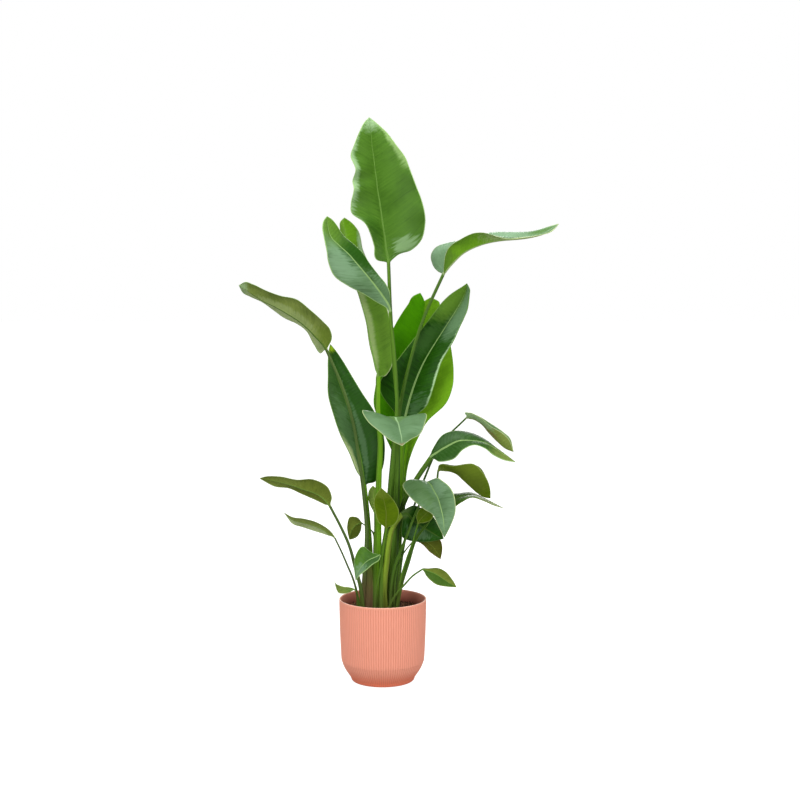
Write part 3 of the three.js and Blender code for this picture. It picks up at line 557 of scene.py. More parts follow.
def cad_faces(node, upper_looks):
    """The leaf's upper and lower points, each [ring][left to right], and the number of the blade's first
    ring."""
    rings = cad_rings(node)
    width = rings.shape[1] // 2
    round_trip = np.linalg.norm(np.roll(rings, -1, axis=1) - rings, axis=2)
    widest = round_trip.sum(1).argmax()
    start = min(range(width), key=lambda i: round_trip[widest][i - 1] + round_trip[widest][i + width - 1])
    rings = np.roll(rings, -start, axis=1)
    upper, lower = rings[:, :width], rings[:, : width - 1 : -1]
    middle = width // 2
    span = np.linalg.norm(upper[:, -1] - upper[:, 0], axis=1)
    depth = upper[:, middle] - lower[:, middle]
    thickness = np.linalg.norm(depth, axis=1)
    first = int(np.argmax(thickness < span / 2))
    out = ((depth / thickness[:, None]) * span[:, None])[first:].sum(0)
    if out @ np.array(upper_looks) < 0:
        upper, lower = lower, upper
    tangent = upper[first + 2, middle] - upper[first, middle]
    if np.cross(upper[first + 1, -1] - upper[first + 1, 0], tangent) @ (upper - lower)[first + 1, middle] < 0:
        upper, lower = upper[:, ::-1], lower[:, ::-1]
    return upper, lower, first


def across_weights(width):
    """Weights that turn a CAD row's points into the fine columns, exactly for a half that bends as a
    parabola."""
    near, half = CAD_COLUMNS[width]
    middle = width // 2
    columns = [-v for v in reversed(ACROSS)] + [0] + list(ACROSS)
    smooth, straight = np.zeros((2, len(columns), width))
    places = [0, near, half, 1] if near else [0, half, 1]
    for i, v in enumerate(columns):
        side = -1 if v < 0 else 1
        v = abs(v)
        for k in range(len(places)):
            straight[i, middle + side * k] += np.interp(v, places, np.eye(len(places))[k])
        if v < near:
            smooth[i] = straight[i]
            continue
        known = places[-3:]
        for k, place in enumerate(known):
            others = [p for p in known if p != place]
            weight = math.prod((v - p) / (place - p) for p in others)
            smooth[i, middle + side * (len(places) - 3 + k)] += weight
    return np.array(columns), smooth, straight


def fine_rings(upper, lower, first, swell):
    """The columns, each CAD ring's fine upper points, and the steps up to them from the lower face. swell:
    how much broader the stalk is at its fleshy foot and at its neck."""
    width = upper.shape[1]
    columns, smooth, straight = across_weights(width)
    count = len(columns)
    middle = width // 2
    out = upper - lower
    directions = out / np.linalg.norm(out, axis=2)[:, :, None]
    fine_upper = np.einsum("cw,rwx->rcx", smooth, upper)
    fine_out = np.einsum("cw,rwx->rcx", straight, directions)
    fine_out /= np.linalg.norm(fine_out, axis=2)[:, :, None]
    thickness = FINE_THICKNESS + (FINE_EDGE_THICKNESS - FINE_THICKNESS) * np.abs(columns)
    fine_out *= thickness[None, :, None]
    for i in range(first):
        centre = (upper[i].mean(0) + lower[i].mean(0)) / 2
        sideways = (upper[i, -1] - upper[i, 0]) / 2 / math.cos(math.pi / 2 / width)
        up = (upper[i, middle] - lower[i, middle]) / 2
        broader = swell[1] + (swell[0] - swell[1]) * (1 - i / (first - 1)) ** SWELL_FADE
        sideways, up = sideways * broader, up * math.sqrt(broader)
        angle = math.pi * (np.arange(count) + 0.5) / count
        sunk = STALK_GROOVE * np.clip(1 - (np.cos(angle) / STALK_GROOVE_WIDTH) ** 2, 0, 1)
        rim = centre - np.cos(angle)[:, None] * sideways
        fine_upper[i] = rim + (np.sin(angle) - sunk)[:, None] * up
        fine_out[i] = (2 * np.sin(angle) - sunk)[:, None] * up
    return columns, fine_upper, fine_out


def between_rings(rings, gaps, first):
    """Slopes at the rings for a smooth curve through them. The blade leaves the stalk in its direction."""
    steps = (rings[1:] - rings[:-1]) / gaps[:, None, None]
    slopes = np.empty_like(rings)
    slopes[0], slopes[-1] = steps[0], steps[-1]
    before, behind = gaps[:-1, None, None], gaps[1:, None, None]
    slopes[1:-1] = (steps[:-1] * behind + steps[1:] * before) / (before + behind)
    slopes[first - 1] = steps[first - 2]
    return slopes


def laid_out(rings, slopes, gaps, counts):
    """Points on the smooth curves through the rings, with that many rows from one ring to the next."""
    rows = []
    for i, count in enumerate(counts):
        t = (np.arange(count) / count)[:, None, None]
        h = gaps[i]
        a, b = rings[i], rings[i + 1]
        rows.append(a * (1 - 3 * t**2 + 2 * t**3) + b * (3 * t**2 - 2 * t**3)
                    + slopes[i] * h * (t - 2 * t**2 + t**3) + slopes[i + 1] * h * (t**3 - t**2))
    return np.concatenate([*rows, rings[-1:]])


def skin_faces(rows, columns):
    """The faces of a closed skin over rows of upper and then lower points."""
    numbers = np.arange(2 * rows * columns).reshape(rows, 2, columns)
    upper, lower = numbers[:, 0], numbers[:, 1]
    faces = [
        (upper[:-1, :-1], upper[:-1, 1:], upper[1:, 1:], upper[1:, :-1]),
        (lower[:-1, :-1], lower[1:, :-1], lower[1:, 1:], lower[:-1, 1:]),
        (lower[:-1, 0], upper[:-1, 0], upper[1:, 0], lower[1:, 0]),
        (lower[:-1, -1], lower[1:, -1], upper[1:, -1], upper[:-1, -1]),
        (lower[0, :-1], lower[0, 1:], upper[0, 1:], upper[0, :-1]),
        (lower[-1, :-1], upper[-1, :-1], upper[-1, 1:], lower[-1, 1:]),
    ]
    return np.concatenate([np.stack(corners, axis=-1).reshape(-1, 4) for corners in faces]).tolist()


def leaf_mesh(node, upper_looks, swell):
    """The leaf's fine mesh. Its points carry leaf_place (across, along, upper face) and leaf_lines (half
    widths of the midrib away from its middle, distance to the margin, place in the run of side veins)."""
    upper, lower, first = cad_faces(node, upper_looks)
    columns, rings, depths = fine_rings(upper, lower, first, swell)
    middle = len(columns) // 2
    cad_middle = upper.shape[1] // 2
    line = (upper[:, cad_middle] + lower[:, cad_middle]) / 2
    gaps = np.linalg.norm(line[1:] - line[:-1], axis=1)
    row_steps = [STALK_STEP] * (first - 1) + [BLADE_STEP] * (len(gaps) - first + 1)
    counts = [max(1, math.ceil(gap / step)) for gap, step in zip(gaps, row_steps)]
    top = laid_out(rings, between_rings(rings, gaps, first), gaps, counts)
    depth = laid_out(depths, between_rings(depths, gaps, first), gaps, counts)

    stations = np.concatenate([[0], np.cumsum(gaps)])
    stretches = [np.linspace(a, b, c, endpoint=False) for a, b, c in zip(stations, stations[1:], counts)]
    station = np.concatenate([*stretches, stations[-1:]])
    base = stations[first - 1]
    blade_length = stations[-1] - base
    along = np.where(station < base, station - base, (station - base) / blade_length)
    on_blade = np.clip(along, 0, 1)

    steps = np.linalg.norm(top[:, 1:] - top[:, :-1], axis=2)
    reach = np.zeros(top.shape[:2])
    reach[:, middle + 1 :] = np.cumsum(steps[:, middle:], axis=1)
    reach[:, :middle] = np.cumsum(steps[:, :middle][:, ::-1], axis=1)[:, ::-1]
    half_width = np.where(columns[None] < 0, reach[:, :1], reach[:, -1:])
    rib_radius = np.linalg.norm(upper[first - 1, -1] - upper[first - 1, 0]) / 2
    rib_half = RIB_HALF_WIDTH * rib_radius * (1 - RIB_TAPER * on_blade) + RIB_LEAST
    rib_place = reach / rib_half[:, None]
    margin = half_width - reach
    vein = (station - base)[:, None] - VEIN_LEAN * reach - VEIN_CURVE * reach**2

    out = depth / np.linalg.norm(depth, axis=2)[:, :, None]
    is_blade = np.clip((station - base) / BLADE_BEGINS, 0, 1)[:, None]
    from_rib = np.clip(rib_place / 2 - PLEATS_FROM_RIB, 0, 1)
    to_margin = np.clip(margin / PLEATS_FADE, PLEATS_AT_MARGIN, 1)
    pleats = PLEAT_HEIGHT * np.sin(2 * math.pi * vein / PLEAT_LENGTH) * from_rib * to_margin
    groove = -RIB_GROOVE * rib_half[:, None] * np.clip(1 - rib_place**2, 0, 1)
    top += out * ((pleats + groove) * is_blade)[:, :, None]
    keel_rings = np.clip(np.linalg.norm((upper - lower)[:, cad_middle], axis=1) - BLADE_THICKNESS, 0, None)
    keel_rings[:first] = keel_rings[first]
    keel = np.interp(station, stations, keel_rings)
    bottom = top - depth
    ridge = keel[:, None] * np.clip(1 - (rib_place / RIDGE_WIDTH) ** 2, 0, 1)
    up = out[:, middle : middle + 1]
    bottom -= (ridge * is_blade)[:, :, None] * up

    shape = rib_place.shape
    points = np.stack([top, bottom], axis=1).reshape(-1, 3)
    mesh = bpy.data.meshes.new(node)
    mesh.from_pydata(points, [], skin_faces(*shape))
    mesh.shade_smooth()
    across_along = [np.broadcast_to(columns, shape), np.broadcast_to(along[:, None], shape)]
    place = [np.stack([*across_along, np.full(shape, side)], axis=2) for side in (UPPER, UNDER)]
    lines = [np.stack([rib_place, margin, vein], axis=2)] * 2
    for name, values in (("leaf_place", place), ("leaf_lines", lines)):
        values = np.stack(values, axis=1).astype(np.float32).ravel()
        mesh.attributes.new(name, "FLOAT_VECTOR", "POINT").data.foreach_set("vector", values)
    return mesh


# ------------------------------------------------------------
# A leaf's surface: green tissue under a thin wax. Pale and dark stripes follow its side veins, clouds are
# waxier, some patches are younger or drier and others are painted highlight, painted sheen and painted
# shade, midrib and margin are paler, and the stalk is streaked lengthways. Where the halves of a blade or
# the sides of a stalk differ in tone, that is largely painted light and shade.
BETWEEN_HALVES = (-0.03, 0.03)
BETWEEN_FACES = (0.3, 0.7)
ROUGHNESS_OF_FACES = (0.6, 0.4)
ROUGHNESS_OF_STRIPES = 0.25
STRIPE_SCALES = (560, 120)
STRIPE_DRIFT = 0.004
STRIPES_LIGHT = (0.5, 0.72)
STRIPES_DARK = (0.5, 0.3)
LIGHT_TINT = (1.45, 1.32, 1.5, 1)
DARK_TINT = "#9fb08c"
RELIEF_STRENGTH = 0.25
RELIEF_HEIGHT = 0.0008
VEIN_SPACING = 0.0085
VEIN_WANDER = 0.006
VEIN_WANDER_SCALE = 40
THIN_VEIN = (0.0007, 0.0001, 0, 0.6)
THIN_VEIN_CORE = (0.0006, 0.0001, 0, 0.35)
CLOUD_SCALE = 14
CLOUD_SHARE = (0.42, 0.68, 0, 0.6)
CLOUD_TINT = "#c2cdb4"
PATCH_EDGE = (1.15, 0.45)
PATCH_STREAK_SCALE = 190
PATCH_STREAK_DRIFT = 0.015
PATCH_STREAK_REACH = 4
PATCH_CLOUD_SCALE = 30
PATCH_CLOUD_REACH = 0.6
OTHER_FACE = (0.8, 0.6)
MARGIN_WIDTH = (0.0026, 0.0006)
RIB_EDGE = (1.15, 0.7, 0, 0.85)
RIB_FADE = (0.8, 1.0, 1.0, 0.15)
RIB_GROOVE_EDGE = (0.45, 0.1, 0, 0.35)
RIB_GROOVE_TINT = "#7f9068"
STALK_SIDES = (-0.35, 0.55)
STALK_ENDS = (0.012, -0.004)
STALK_DULLER = 0.05
FIBRE_SCALE = 14
FIBRE_STRETCH = (0.4, 0.5)
FIBRE_SHARE = (0.45, 0.7, 0, 0.7)
FIBRE_TINT = "#a8ad86"
FOOT_RAGGED = 0.08


def carried(tree, name):
    """The three numbers that the leaf's points carry under that name."""
    return split(tree, add_node(tree, "ShaderNodeAttribute", attribute_name=name).outputs["Vector"])


def tinted(tree, colour, tint):
    """The colour multiplied by a tint."""
    return blend(tree, 1.0, colour, tint, "MULTIPLY")


def leaf_ground_group():
    """Shader group: the blade's own colour with its side veins, its roughness and its relief."""
    inputs = sockets("Color", "Left", "Right", "Under left", "Under right") + sockets("Float", "Veins")
    outputs = sockets("Color", "Colour") + sockets("Float", "Roughness", "Relief")
    tree, given = new_group("leaf_ground", "ShaderNodeTree", inputs, outputs)
    across, _, face = carried(tree, "leaf_place")
    vein = carried(tree, "leaf_lines")[2]
    # Each face's two halves take their own tones; where they differ, that is largely painted light and sheen
    # on one half and painted shade on the other.
    right = ramp(tree, across, *BETWEEN_HALVES)
    upper = blend(tree, right, given["Left"], given["Right"])
    under = blend(tree, right, given["Under left"], given["Under right"])
    colour = blend(tree, ramp(tree, face, *BETWEEN_FACES), under, upper)
    spot = vector_of(tree, vein, times(tree, across, STRIPE_DRIFT), calc(tree, "SIGN", across))
    fine = noise(tree, spot, STRIPE_SCALES[0], 1)
    coarse = noise(tree, spot, STRIPE_SCALES[1], 2)
    stripes = plus(tree, times(tree, fine, 0.5), times(tree, coarse, 0.5))
    light = ramp(tree, stripes, *STRIPES_LIGHT)
    dark = ramp(tree, stripes, *STRIPES_DARK)
    paler = tinted(tree, colour, LIGHT_TINT)
    colour = blend(tree, times(tree, light, given["Veins"]), colour, paler)
    colour = blend(tree, times(tree, dark, given["Veins"]), colour, tinted(tree, colour, DARK_TINT))
    body = object_place(tree)
    wander = calc(tree, "MULTIPLY_ADD", noise(tree, body, VEIN_WANDER_SCALE), VEIN_WANDER, vein)
    from_vein = calc(tree, "PINGPONG", wander, VEIN_SPACING / 2)
    thin = times(tree, ramp(tree, from_vein, *THIN_VEIN), light)
    thin = plus(tree, thin, ramp(tree, from_vein, *THIN_VEIN_CORE))
    colour = blend(tree, times(tree, thin, given["Veins"]), colour, paler)
    cloud = ramp(tree, noise(tree, body, CLOUD_SCALE, 3), *CLOUD_SHARE)
    colour = blend(tree, cloud, colour, tinted(tree, colour, CLOUD_TINT))
    base = ramp(tree, face, *BETWEEN_FACES, *ROUGHNESS_OF_FACES)
    rough = plus(tree, base, times(tree, minus(tree, coarse, 0.5), ROUGHNESS_OF_STRIPES))
    add_node(tree, "NodeGroupOutput", {"Colour": colour, "Roughness": rough, "Relief": stripes})
    return tree


def leaf_patch_group():
    """Shader group: where on the blade a patch lies, broken up along the side veins. 1 is full."""
    inputs = sockets("Float", "Across", "Along", "Half width", "Half length", "Streaks", "Face")
    tree, given = new_group("leaf_patch", "ShaderNodeTree", inputs, sockets("Float", "Patch"))
    across, along, face = carried(tree, "leaf_place")
    vein = carried(tree, "leaf_lines")[2]
    sideways = calc(tree, "DIVIDE", minus(tree, across, given["Across"]), given["Half width"])
    lengthways = calc(tree, "DIVIDE", minus(tree, along, given["Along"]), given["Half length"])
    squares = plus(tree, calc(tree, "POWER", sideways, 2), calc(tree, "POWER", lengthways, 2))
    spot = vector_of(tree, vein, times(tree, across, PATCH_STREAK_DRIFT))
    streak = minus(tree, noise(tree, spot, PATCH_STREAK_SCALE, 3), 0.5)
    cloud = minus(tree, noise(tree, object_place(tree), PATCH_CLOUD_SCALE, 3), 0.5)
    reach = times(tree, given["Streaks"], PATCH_STREAK_REACH)
    edge = plus(tree, calc(tree, "SQRT", squares), times(tree, streak, reach))
    edge = plus(tree, edge, times(tree, cloud, PATCH_CLOUD_REACH))
    other_face = calc(tree, "ABSOLUTE", minus(tree, face, given["Face"]))
    shown = times(tree, ramp(tree, edge, *PATCH_EDGE), ramp(tree, other_face, *OTHER_FACE))
    add_node(tree, "NodeGroupOutput", {"Patch": shown})
    return tree


def leaf_lines_group():
    """Shader group: lays the midrib, the margin and the stalk over the blade's colour."""
    inputs = sockets("Color", "Colour", "Rib", "Margin", "Stalk left", "Stalk right", "Foot")
    inputs += sockets("Float", "Foot height")
    outputs = sockets("Color", "Colour") + sockets("Float", "On stalk")
    tree, given = new_group("leaf_lines", "ShaderNodeTree", inputs, outputs)
    across, along, face = carried(tree, "leaf_place")
    rib, margin, _ = carried(tree, "leaf_lines")
    height = split(tree, object_place(tree))[2]
    rib_line = times(tree, ramp(tree, rib, *RIB_EDGE), ramp(tree, along, *RIB_FADE))
    groove_line = ramp(tree, rib, *RIB_GROOVE_EDGE)
    colour = blend(tree, rib_line, given["Colour"], given["Rib"])
    deeper = tinted(tree, given["Rib"], RIB_GROOVE_TINT)
    colour = blend(tree, times(tree, groove_line, face), colour, deeper)
    colour = blend(tree, ramp(tree, margin, *MARGIN_WIDTH), colour, given["Margin"])
    sideways, upwards = FIBRE_STRETCH
    spot = vector_of(tree, times(tree, across, sideways), face, times(tree, height, upwards))
    fibre = noise(tree, spot, FIBRE_SCALE, 3)
    low = minus(tree, height, times(tree, minus(tree, fibre, 0.5), FOOT_RAGGED))
    at_foot = ramp(tree, low, given["Foot height"], SOIL_TOP)
    # The stalk's two halves take their own tones, mostly a painted lit side and a painted shaded side.
    stalk = blend(tree, ramp(tree, across, *STALK_SIDES), given["Stalk left"], given["Stalk right"])
    stalk = blend(tree, at_foot, stalk, given["Foot"])
    stalk = blend(tree, ramp(tree, fibre, *FIBRE_SHARE), stalk, tinted(tree, stalk, FIBRE_TINT))
    on_stalk = ramp(tree, along, *STALK_ENDS)
    colour = blend(tree, on_stalk, colour, stalk)
    add_node(tree, "NodeGroupOutput", {"Colour": colour, "On stalk": on_stalk})
    return tree


LEAF_GROUND = leaf_ground_group()
LEAF_PATCH = leaf_patch_group()
LEAF_LINES = leaf_lines_group()

# Tones of the leaves, from the youngest green over the waxy ones to the driest. The brightest young greens
# also carry painted light shining through young blades, the pale waxy ones painted reflection and
# highlight, and the darkest serve also as painted shade.
LIME = "#a4cc18"
SPRING = "#8fb034"
VIVID = "#4c9604"
FRESH = "#70a61c"
LIVELY = "#5c8426"
GREEN = "#4a7420"
DARK = "#3a6028"
# Old dark green, also used as painted shade.
DEEP = "#225008"
DUSTY = "#546c36"
OLIVE = "#567008"
DULL_OLIVE = "#6c7c2c"
PALE_OLIVE = "#7e9044"
SAGE = "#acbe84"
# This and the next: the bluish waxy bloom, brightened by a painted reflection of the pale surround.
SEA = "#64865e"
PALE_SEA = "#82a480"
# Painted highlight where light catches the wax.
WAX_HIGHLIGHT = "#a4c694"
RIB_GREEN = "#688f3c"
RIB_PALE = "#9abc74"
SHADED = "#44661e"
STALK_FOOT = "#54682a"
BROWNING = "#565f18"
STRAW = "#8a7050"


def halves(tone):
    """The tones of the left and the right half, from such a pair or from one tone for both."""
    return tone if isinstance(tone, tuple) else (tone, tone)


def leaf_material(name, upper, under, rib=RIB_GREEN, margin=SAGE, stalk=(LIVELY, SHADED), foot=STALK_FOOT,
                  patches=(), veins=0.5, foot_height=0.30, gloss=0.0, sheen=0.1):
    """Waxy leaf. A patch is (across, along, half width, half length, tone, strength, streaks) and, where only
    one face has it, that face. foot_height: how far up the stalk the foot's tone reaches, in metres."""
    made, tree, shader = new_material(name)
    inputs = dict(zip(("Left", "Right", "Under left", "Under right"), halves(upper) + halves(under)))
    inputs["Veins"] = veins
    ground = add_node(tree, "ShaderNodeGroup", inputs, node_tree=LEAF_GROUND).outputs
    colour = ground["Colour"]
    for across, along, half_width, half_length, tone, strength, streaks, *face in patches:
        inputs = {"Across": across, "Along": along, "Half width": half_width, "Half length": half_length}
        inputs |= {"Streaks": streaks, "Face": face[0] if face else BOTH_FACES}
        patch = result_of(tree, "ShaderNodeGroup", inputs, node_tree=LEAF_PATCH)
        colour = blend(tree, times(tree, patch, strength), colour, tone)
    inputs = {"Colour": colour, "Rib": rib, "Margin": margin, "Foot": foot, "Foot height": foot_height}
    inputs |= dict(zip(("Stalk left", "Stalk right"), halves(stalk)))
    lines = add_node(tree, "ShaderNodeGroup", inputs, node_tree=LEAF_LINES).outputs
    rough = plus(tree, plus(tree, ground["Roughness"], gloss), times(tree, lines["On stalk"], STALK_DULLER))
    feed(tree, shader, {"Base Color": lines["Colour"], "Roughness": rough, "Specular IOR Level": sheen})
    feed(tree, shader, {"Normal": relief(tree, ground["Relief"], RELIEF_STRENGTH, RELIEF_HEIGHT)})
    return made


def make_leaf(node, slot="leaf_green", *, swell, upper_looks=FRONT_OR_UP, **looks):
    """One whole leaf, stalk and blade, in place of its CAD node. looks: what leaf_material takes."""
    name = node.replace("leaf_", "")
    finish = leaf_material(name, **looks)
    add_piece("blade_" + name, leaf_mesh(node, upper_looks, swell), finish, slot, node)


# ------------------------------------------------------------
# The tall leaves: the topmost one, the three on the left, the dark upright one below them, the one reaching
# to the right and the broad young one at the back, whose tip is notched.
# Of the patches below, the pale waxy and bluish ones are painted highlight and painted sheen, and the darkest
# are painted shade.
make_leaf(
    "leaf_top", swell=(1.3, 1.15),
    upper=GREEN, under=SEA, margin=RIB_PALE,
    patches=[
        (0, 1.02, 1.3, 0.13, WAX_HIGHLIGHT, 0.7, 0.15),
        (1.0, 0.82, 0.28, 0.2, RIB_PALE, 0.6, 0.25),
        (-1.05, 0.62, 0.3, 0.36, WAX_HIGHLIGHT, 0.6, 0.3),
        (-0.5, 0.2, 0.45, 0.16, DEEP, 0.35, 0.4),
        (0.65, 0.12, 0.45, 0.08, WAX_HIGHLIGHT, 0.45, 0.5, UPPER),
    ],
)
make_leaf(
    "leaf_upper_left_front", "leaf_glaucous", swell=(1.3, 1.2), veins=0.6,
    upper=(SEA, DARK), under=GREEN, rib=RIB_PALE, margin=RIB_PALE,
    patches=[
        (-0.5, 0.58, 0.5, 0.2, PALE_SEA, 0.5, 0.4),
        (0.5, 0.6, 0.8, 0.2, DEEP, 0.8, 0.5),
        (0.5, 0.15, 0.8, 0.28, SEA, 0.6, 0.5),
        (0, 1.0, 1.7, 0.3, LIVELY, 0.85, 0.05),
    ],
)
make_leaf(
    "leaf_upper_left_back", upper_looks=AWAY, swell=(1.7, 1.5), veins=0.4, gloss=0.1,
    upper=(GREEN, LIVELY), under=(LIVELY, SAGE), stalk=(FRESH, LIVELY),
    patches=[
        (0, 0.97, 1.7, 0.18, FRESH, 0.9, 0.1),
        (0, 0.4, 0.3, 0.55, SAGE, 0.5, 0.12, UNDER),
        (-1.0, 0.82, 0.3, 0.12, WAX_HIGHLIGHT, 0.9, 0.1),
    ],
)
make_leaf(
    "leaf_left_arching", swell=(1.4, 1.15), veins=0.45, gloss=0.1, foot=STRAW,
    upper=GREEN, under=(PALE_OLIVE, SAGE), rib=SHADED, margin=RIB_PALE, stalk=DUSTY,
    patches=[
        (-0.12, 0.5, 0.25, 0.38, SAGE, 0.35, 0.4, UNDER),
        (-0.6, 0.08, 0.8, 0.16, OLIVE, 0.6, 0.2),
        (0, 1.0, 1.7, 0.1, WAX_HIGHLIGHT, 0.6, 0.2),
    ],
)
make_leaf(
    "leaf_left_upright", "leaf_dark", swell=(2.2, 1.5), sheen=0.12, foot=STRAW, foot_height=0.36,
    upper=(DARK, DEEP), under=PALE_OLIVE, rib=LIVELY, margin=RIB_GREEN, stalk=(LIVELY, FRESH),
    patches=[
        (-0.5, 0.35, 0.5, 0.3, SEA, 0.3, 0.5),
        (0.2, 0.3, 0.14, 0.35, SEA, 0.5, 0.3),
        (-1.0, 0.15, 0.45, 0.2, SAGE, 0.95, 0.05),
        (0, 0.99, 1.4, 0.05, LIME, 0.8, 0.1),
    ],
)
make_leaf(
    "leaf_right_reaching", "leaf_glaucous", swell=(1.4, 1.5), veins=0.3, sheen=0.15,
    upper=(PALE_SEA, SEA), under=(LIVELY, FRESH), rib=SAGE,
    patches=[
        (0.5, 0.7, 1.2, 0.3, SAGE, 0.8, 0.2, UNDER),
        (0.5, 0.04, 1.2, 0.15, LIVELY, 0.8, 0.2, UNDER),
        (-0.4, 0.88, 0.4, 0.14, GREEN, 0.8, 0.1, UPPER),
        (1.0, 0.85, 0.4, 0.25, SAGE, 0.8, 0.1),
    ],
)
# Its bright yellow-green is partly its young colour and partly painted light shining through it from behind;
# the dark patch at its foot is painted shade.
make_leaf(
    "leaf_back_tall", "leaf_young", swell=(1.6, 1.5), veins=0.3, gloss=0.15, sheen=0.03,
    upper=(VIVID, FRESH), under=VIVID, rib=FRESH, margin=FRESH, stalk=(FRESH, GREEN),
    patches=[(0, 0.0, 1.6, 0.25, SHADED, 0.7, 0.2)],
)

# ------------------------------------------------------------
# The dark leaf right of the middle and the leaves of the lower right side, which droop, fold and dome.
# Of the patches below, the pale waxy and bluish ones are painted highlight and painted sheen, and the darkest
# are painted shade.
make_leaf(
    "leaf_right_dark", "leaf_dark", swell=(1.3, 1.2), veins=1.0, sheen=0.08,
    upper=DEEP, under=GREEN, rib=RIB_PALE, margin=RIB_GREEN, stalk=(FRESH, LIVELY),
    patches=[
        (0.55, 0.8, 0.75, 0.26, SEA, 0.9, 0.15),
        (-0.5, 0.9, 0.9, 0.2, LIVELY, 0.8, 0.15),
        (-0.5, 0.6, 0.6, 0.14, DARK, 0.6, 0.4),
        (1.0, 0.38, 0.13, 0.32, WAX_HIGHLIGHT, 1.0, 0.2),
        (0.5, 0.12, 0.5, 0.12, SEA, 0.3, 0.8),
    ],
)
make_leaf(
    "leaf_front_cupped", "leaf_glaucous", swell=(1.4, 1.3), veins=0.3, sheen=0.15,
    upper=SEA, under=PALE_OLIVE, rib=WAX_HIGHLIGHT,
    patches=[
        (0, 1.0, 0.8, 0.07, STRAW, 0.85, 0.1),
        (0, 0.08, 1.0, 0.16, LIVELY, 0.4, 0.4),
    ],
)
make_leaf(
    "leaf_right_folded", swell=(1.7, 1.8), veins=0.4,
    upper=SEA, under=(LIVELY, PALE_OLIVE), rib=STRAW,
    patches=[
        (0.6, 0.25, 0.7, 0.34, WAX_HIGHLIGHT, 0.7, 0.2, UNDER),
        (0.25, 0.5, 0.12, 0.22, STRAW, 0.8, 0.2, UNDER),
        (0, 0.95, 1.4, 0.2, PALE_OLIVE, 0.7, 0.2),
    ],
)
make_leaf(
    "leaf_right_domed", swell=(1.7, 1.8), veins=0.6, sheen=0.12,
    upper=DARK, under=DUSTY, rib=RIB_PALE, margin=RIB_PALE,
    patches=[
        (-0.5, 0.3, 0.5, 0.25, SEA, 0.3, 0.4),
        (0.5, 0.2, 0.6, 0.16, DEEP, 0.5, 0.5),
        (0.2, 1.0, 1.6, 0.36, PALE_OLIVE, 0.75, 0.15),
    ],
)
make_leaf(
    "leaf_right_drooping", swell=(1.5, 1.5), veins=0.4, gloss=0.1,
    upper=DUSTY, under=OLIVE, rib=DULL_OLIVE, margin=PALE_OLIVE,
    patches=[
        (0, 0.03, 1.6, 0.13, PALE_OLIVE, 0.6, 0.2),
        (0.2, 0.5, 1.2, 0.45, DULL_OLIVE, 0.45, 0.3),
    ],
)
make_leaf(
    "leaf_right_narrow", swell=(1.3, 1.3), veins=0.4,
    upper=GREEN, under=DUSTY, margin=PALE_OLIVE,
    patches=[(0, 0.85, 1.7, 0.42, PALE_OLIVE, 0.9, 0.1)],
)
make_leaf(
    "leaf_front_large", "leaf_glaucous", swell=(1.4, 1.3), sheen=0.15,
    upper=SEA, under=LIVELY, rib=RIB_PALE,
    patches=[
        (0.6, 0.3, 0.5, 0.3, GREEN, 0.35, 0.4),
        (-0.4, 0.25, 0.6, 0.2, PALE_SEA, 0.5, 0.3),
    ],
)
make_leaf(
    "leaf_front_dark", "leaf_dark", swell=(1.2, 1.2), veins=0.6, foot=DULL_OLIVE,
    upper=DEEP, under=DUSTY, rib=SHADED, margin=DUSTY, stalk=(SPRING, DULL_OLIVE),
    patches=[
        (0.5, 0.5, 0.4, 0.3, SEA, 0.5, 0.5),
        (-0.2, 0.05, 1.2, 0.12, DUSTY, 0.6, 0.2),
    ],
)

# ------------------------------------------------------------
# The low leaves over the rim: on the left two long ones and two small ones, in front four, on the right
# a small one and the one that is turning brown.
make_leaf(
    "leaf_hanging_brown", "leaf_brown", upper_looks=AWAY, swell=(1.2, 1.5), veins=0.4, gloss=0.1,
    upper=BROWNING, under=BROWNING, rib=DULL_OLIVE, margin=STRAW,
    patches=[(0.3, 0.2, 0.8, 0.2, STRAW, 0.35, 0.4)],
)
make_leaf(
    "leaf_low_right", swell=(1.3, 1.4), veins=0.4,
    upper=(DULL_OLIVE, SHADED), under=DUSTY, margin=PALE_OLIVE,
)
make_leaf(
    "leaf_low_left", swell=(1.6, 1.6), veins=0.35, gloss=0.1,
    upper=DUSTY, under=DULL_OLIVE, stalk=(DUSTY, SHADED),
    patches=[(0, 0.72, 1.4, 0.25, PALE_OLIVE, 0.5, 0.3)],
)
make_leaf(
    "leaf_low_left_narrow", swell=(1.4, 1.6), veins=0.3,
    upper=GREEN, under=(PALE_OLIVE, SAGE), stalk=(DUSTY, SHADED),
    patches=[(0, 0.05, 1.5, 0.15, DULL_OLIVE, 0.6, 0.2)],
)
make_leaf(
    "leaf_small_left", upper_looks=AWAY, swell=(1.5, 2.0), veins=0.3, gloss=0.1,
    upper=GREEN, under=DULL_OLIVE, margin=PALE_OLIVE,
)
# The pale and bluish patches are painted sheen, the dark one painted shade.
make_leaf(
    "leaf_low_front", "leaf_glaucous", swell=(1.3, 1.3), sheen=0.12,
    upper=(DARK, GREEN), under=LIVELY, rib=RIB_PALE, margin=RIB_PALE,
    patches=[
        (-0.4, 0.78, 0.9, 0.34, PALE_SEA, 0.55, 0.3),
        (0.1, 0.2, 1.0, 0.3, DARK, 0.6, 0.4),
        (0.5, 0.85, 0.5, 0.2, SEA, 0.5, 0.4),
    ],
)
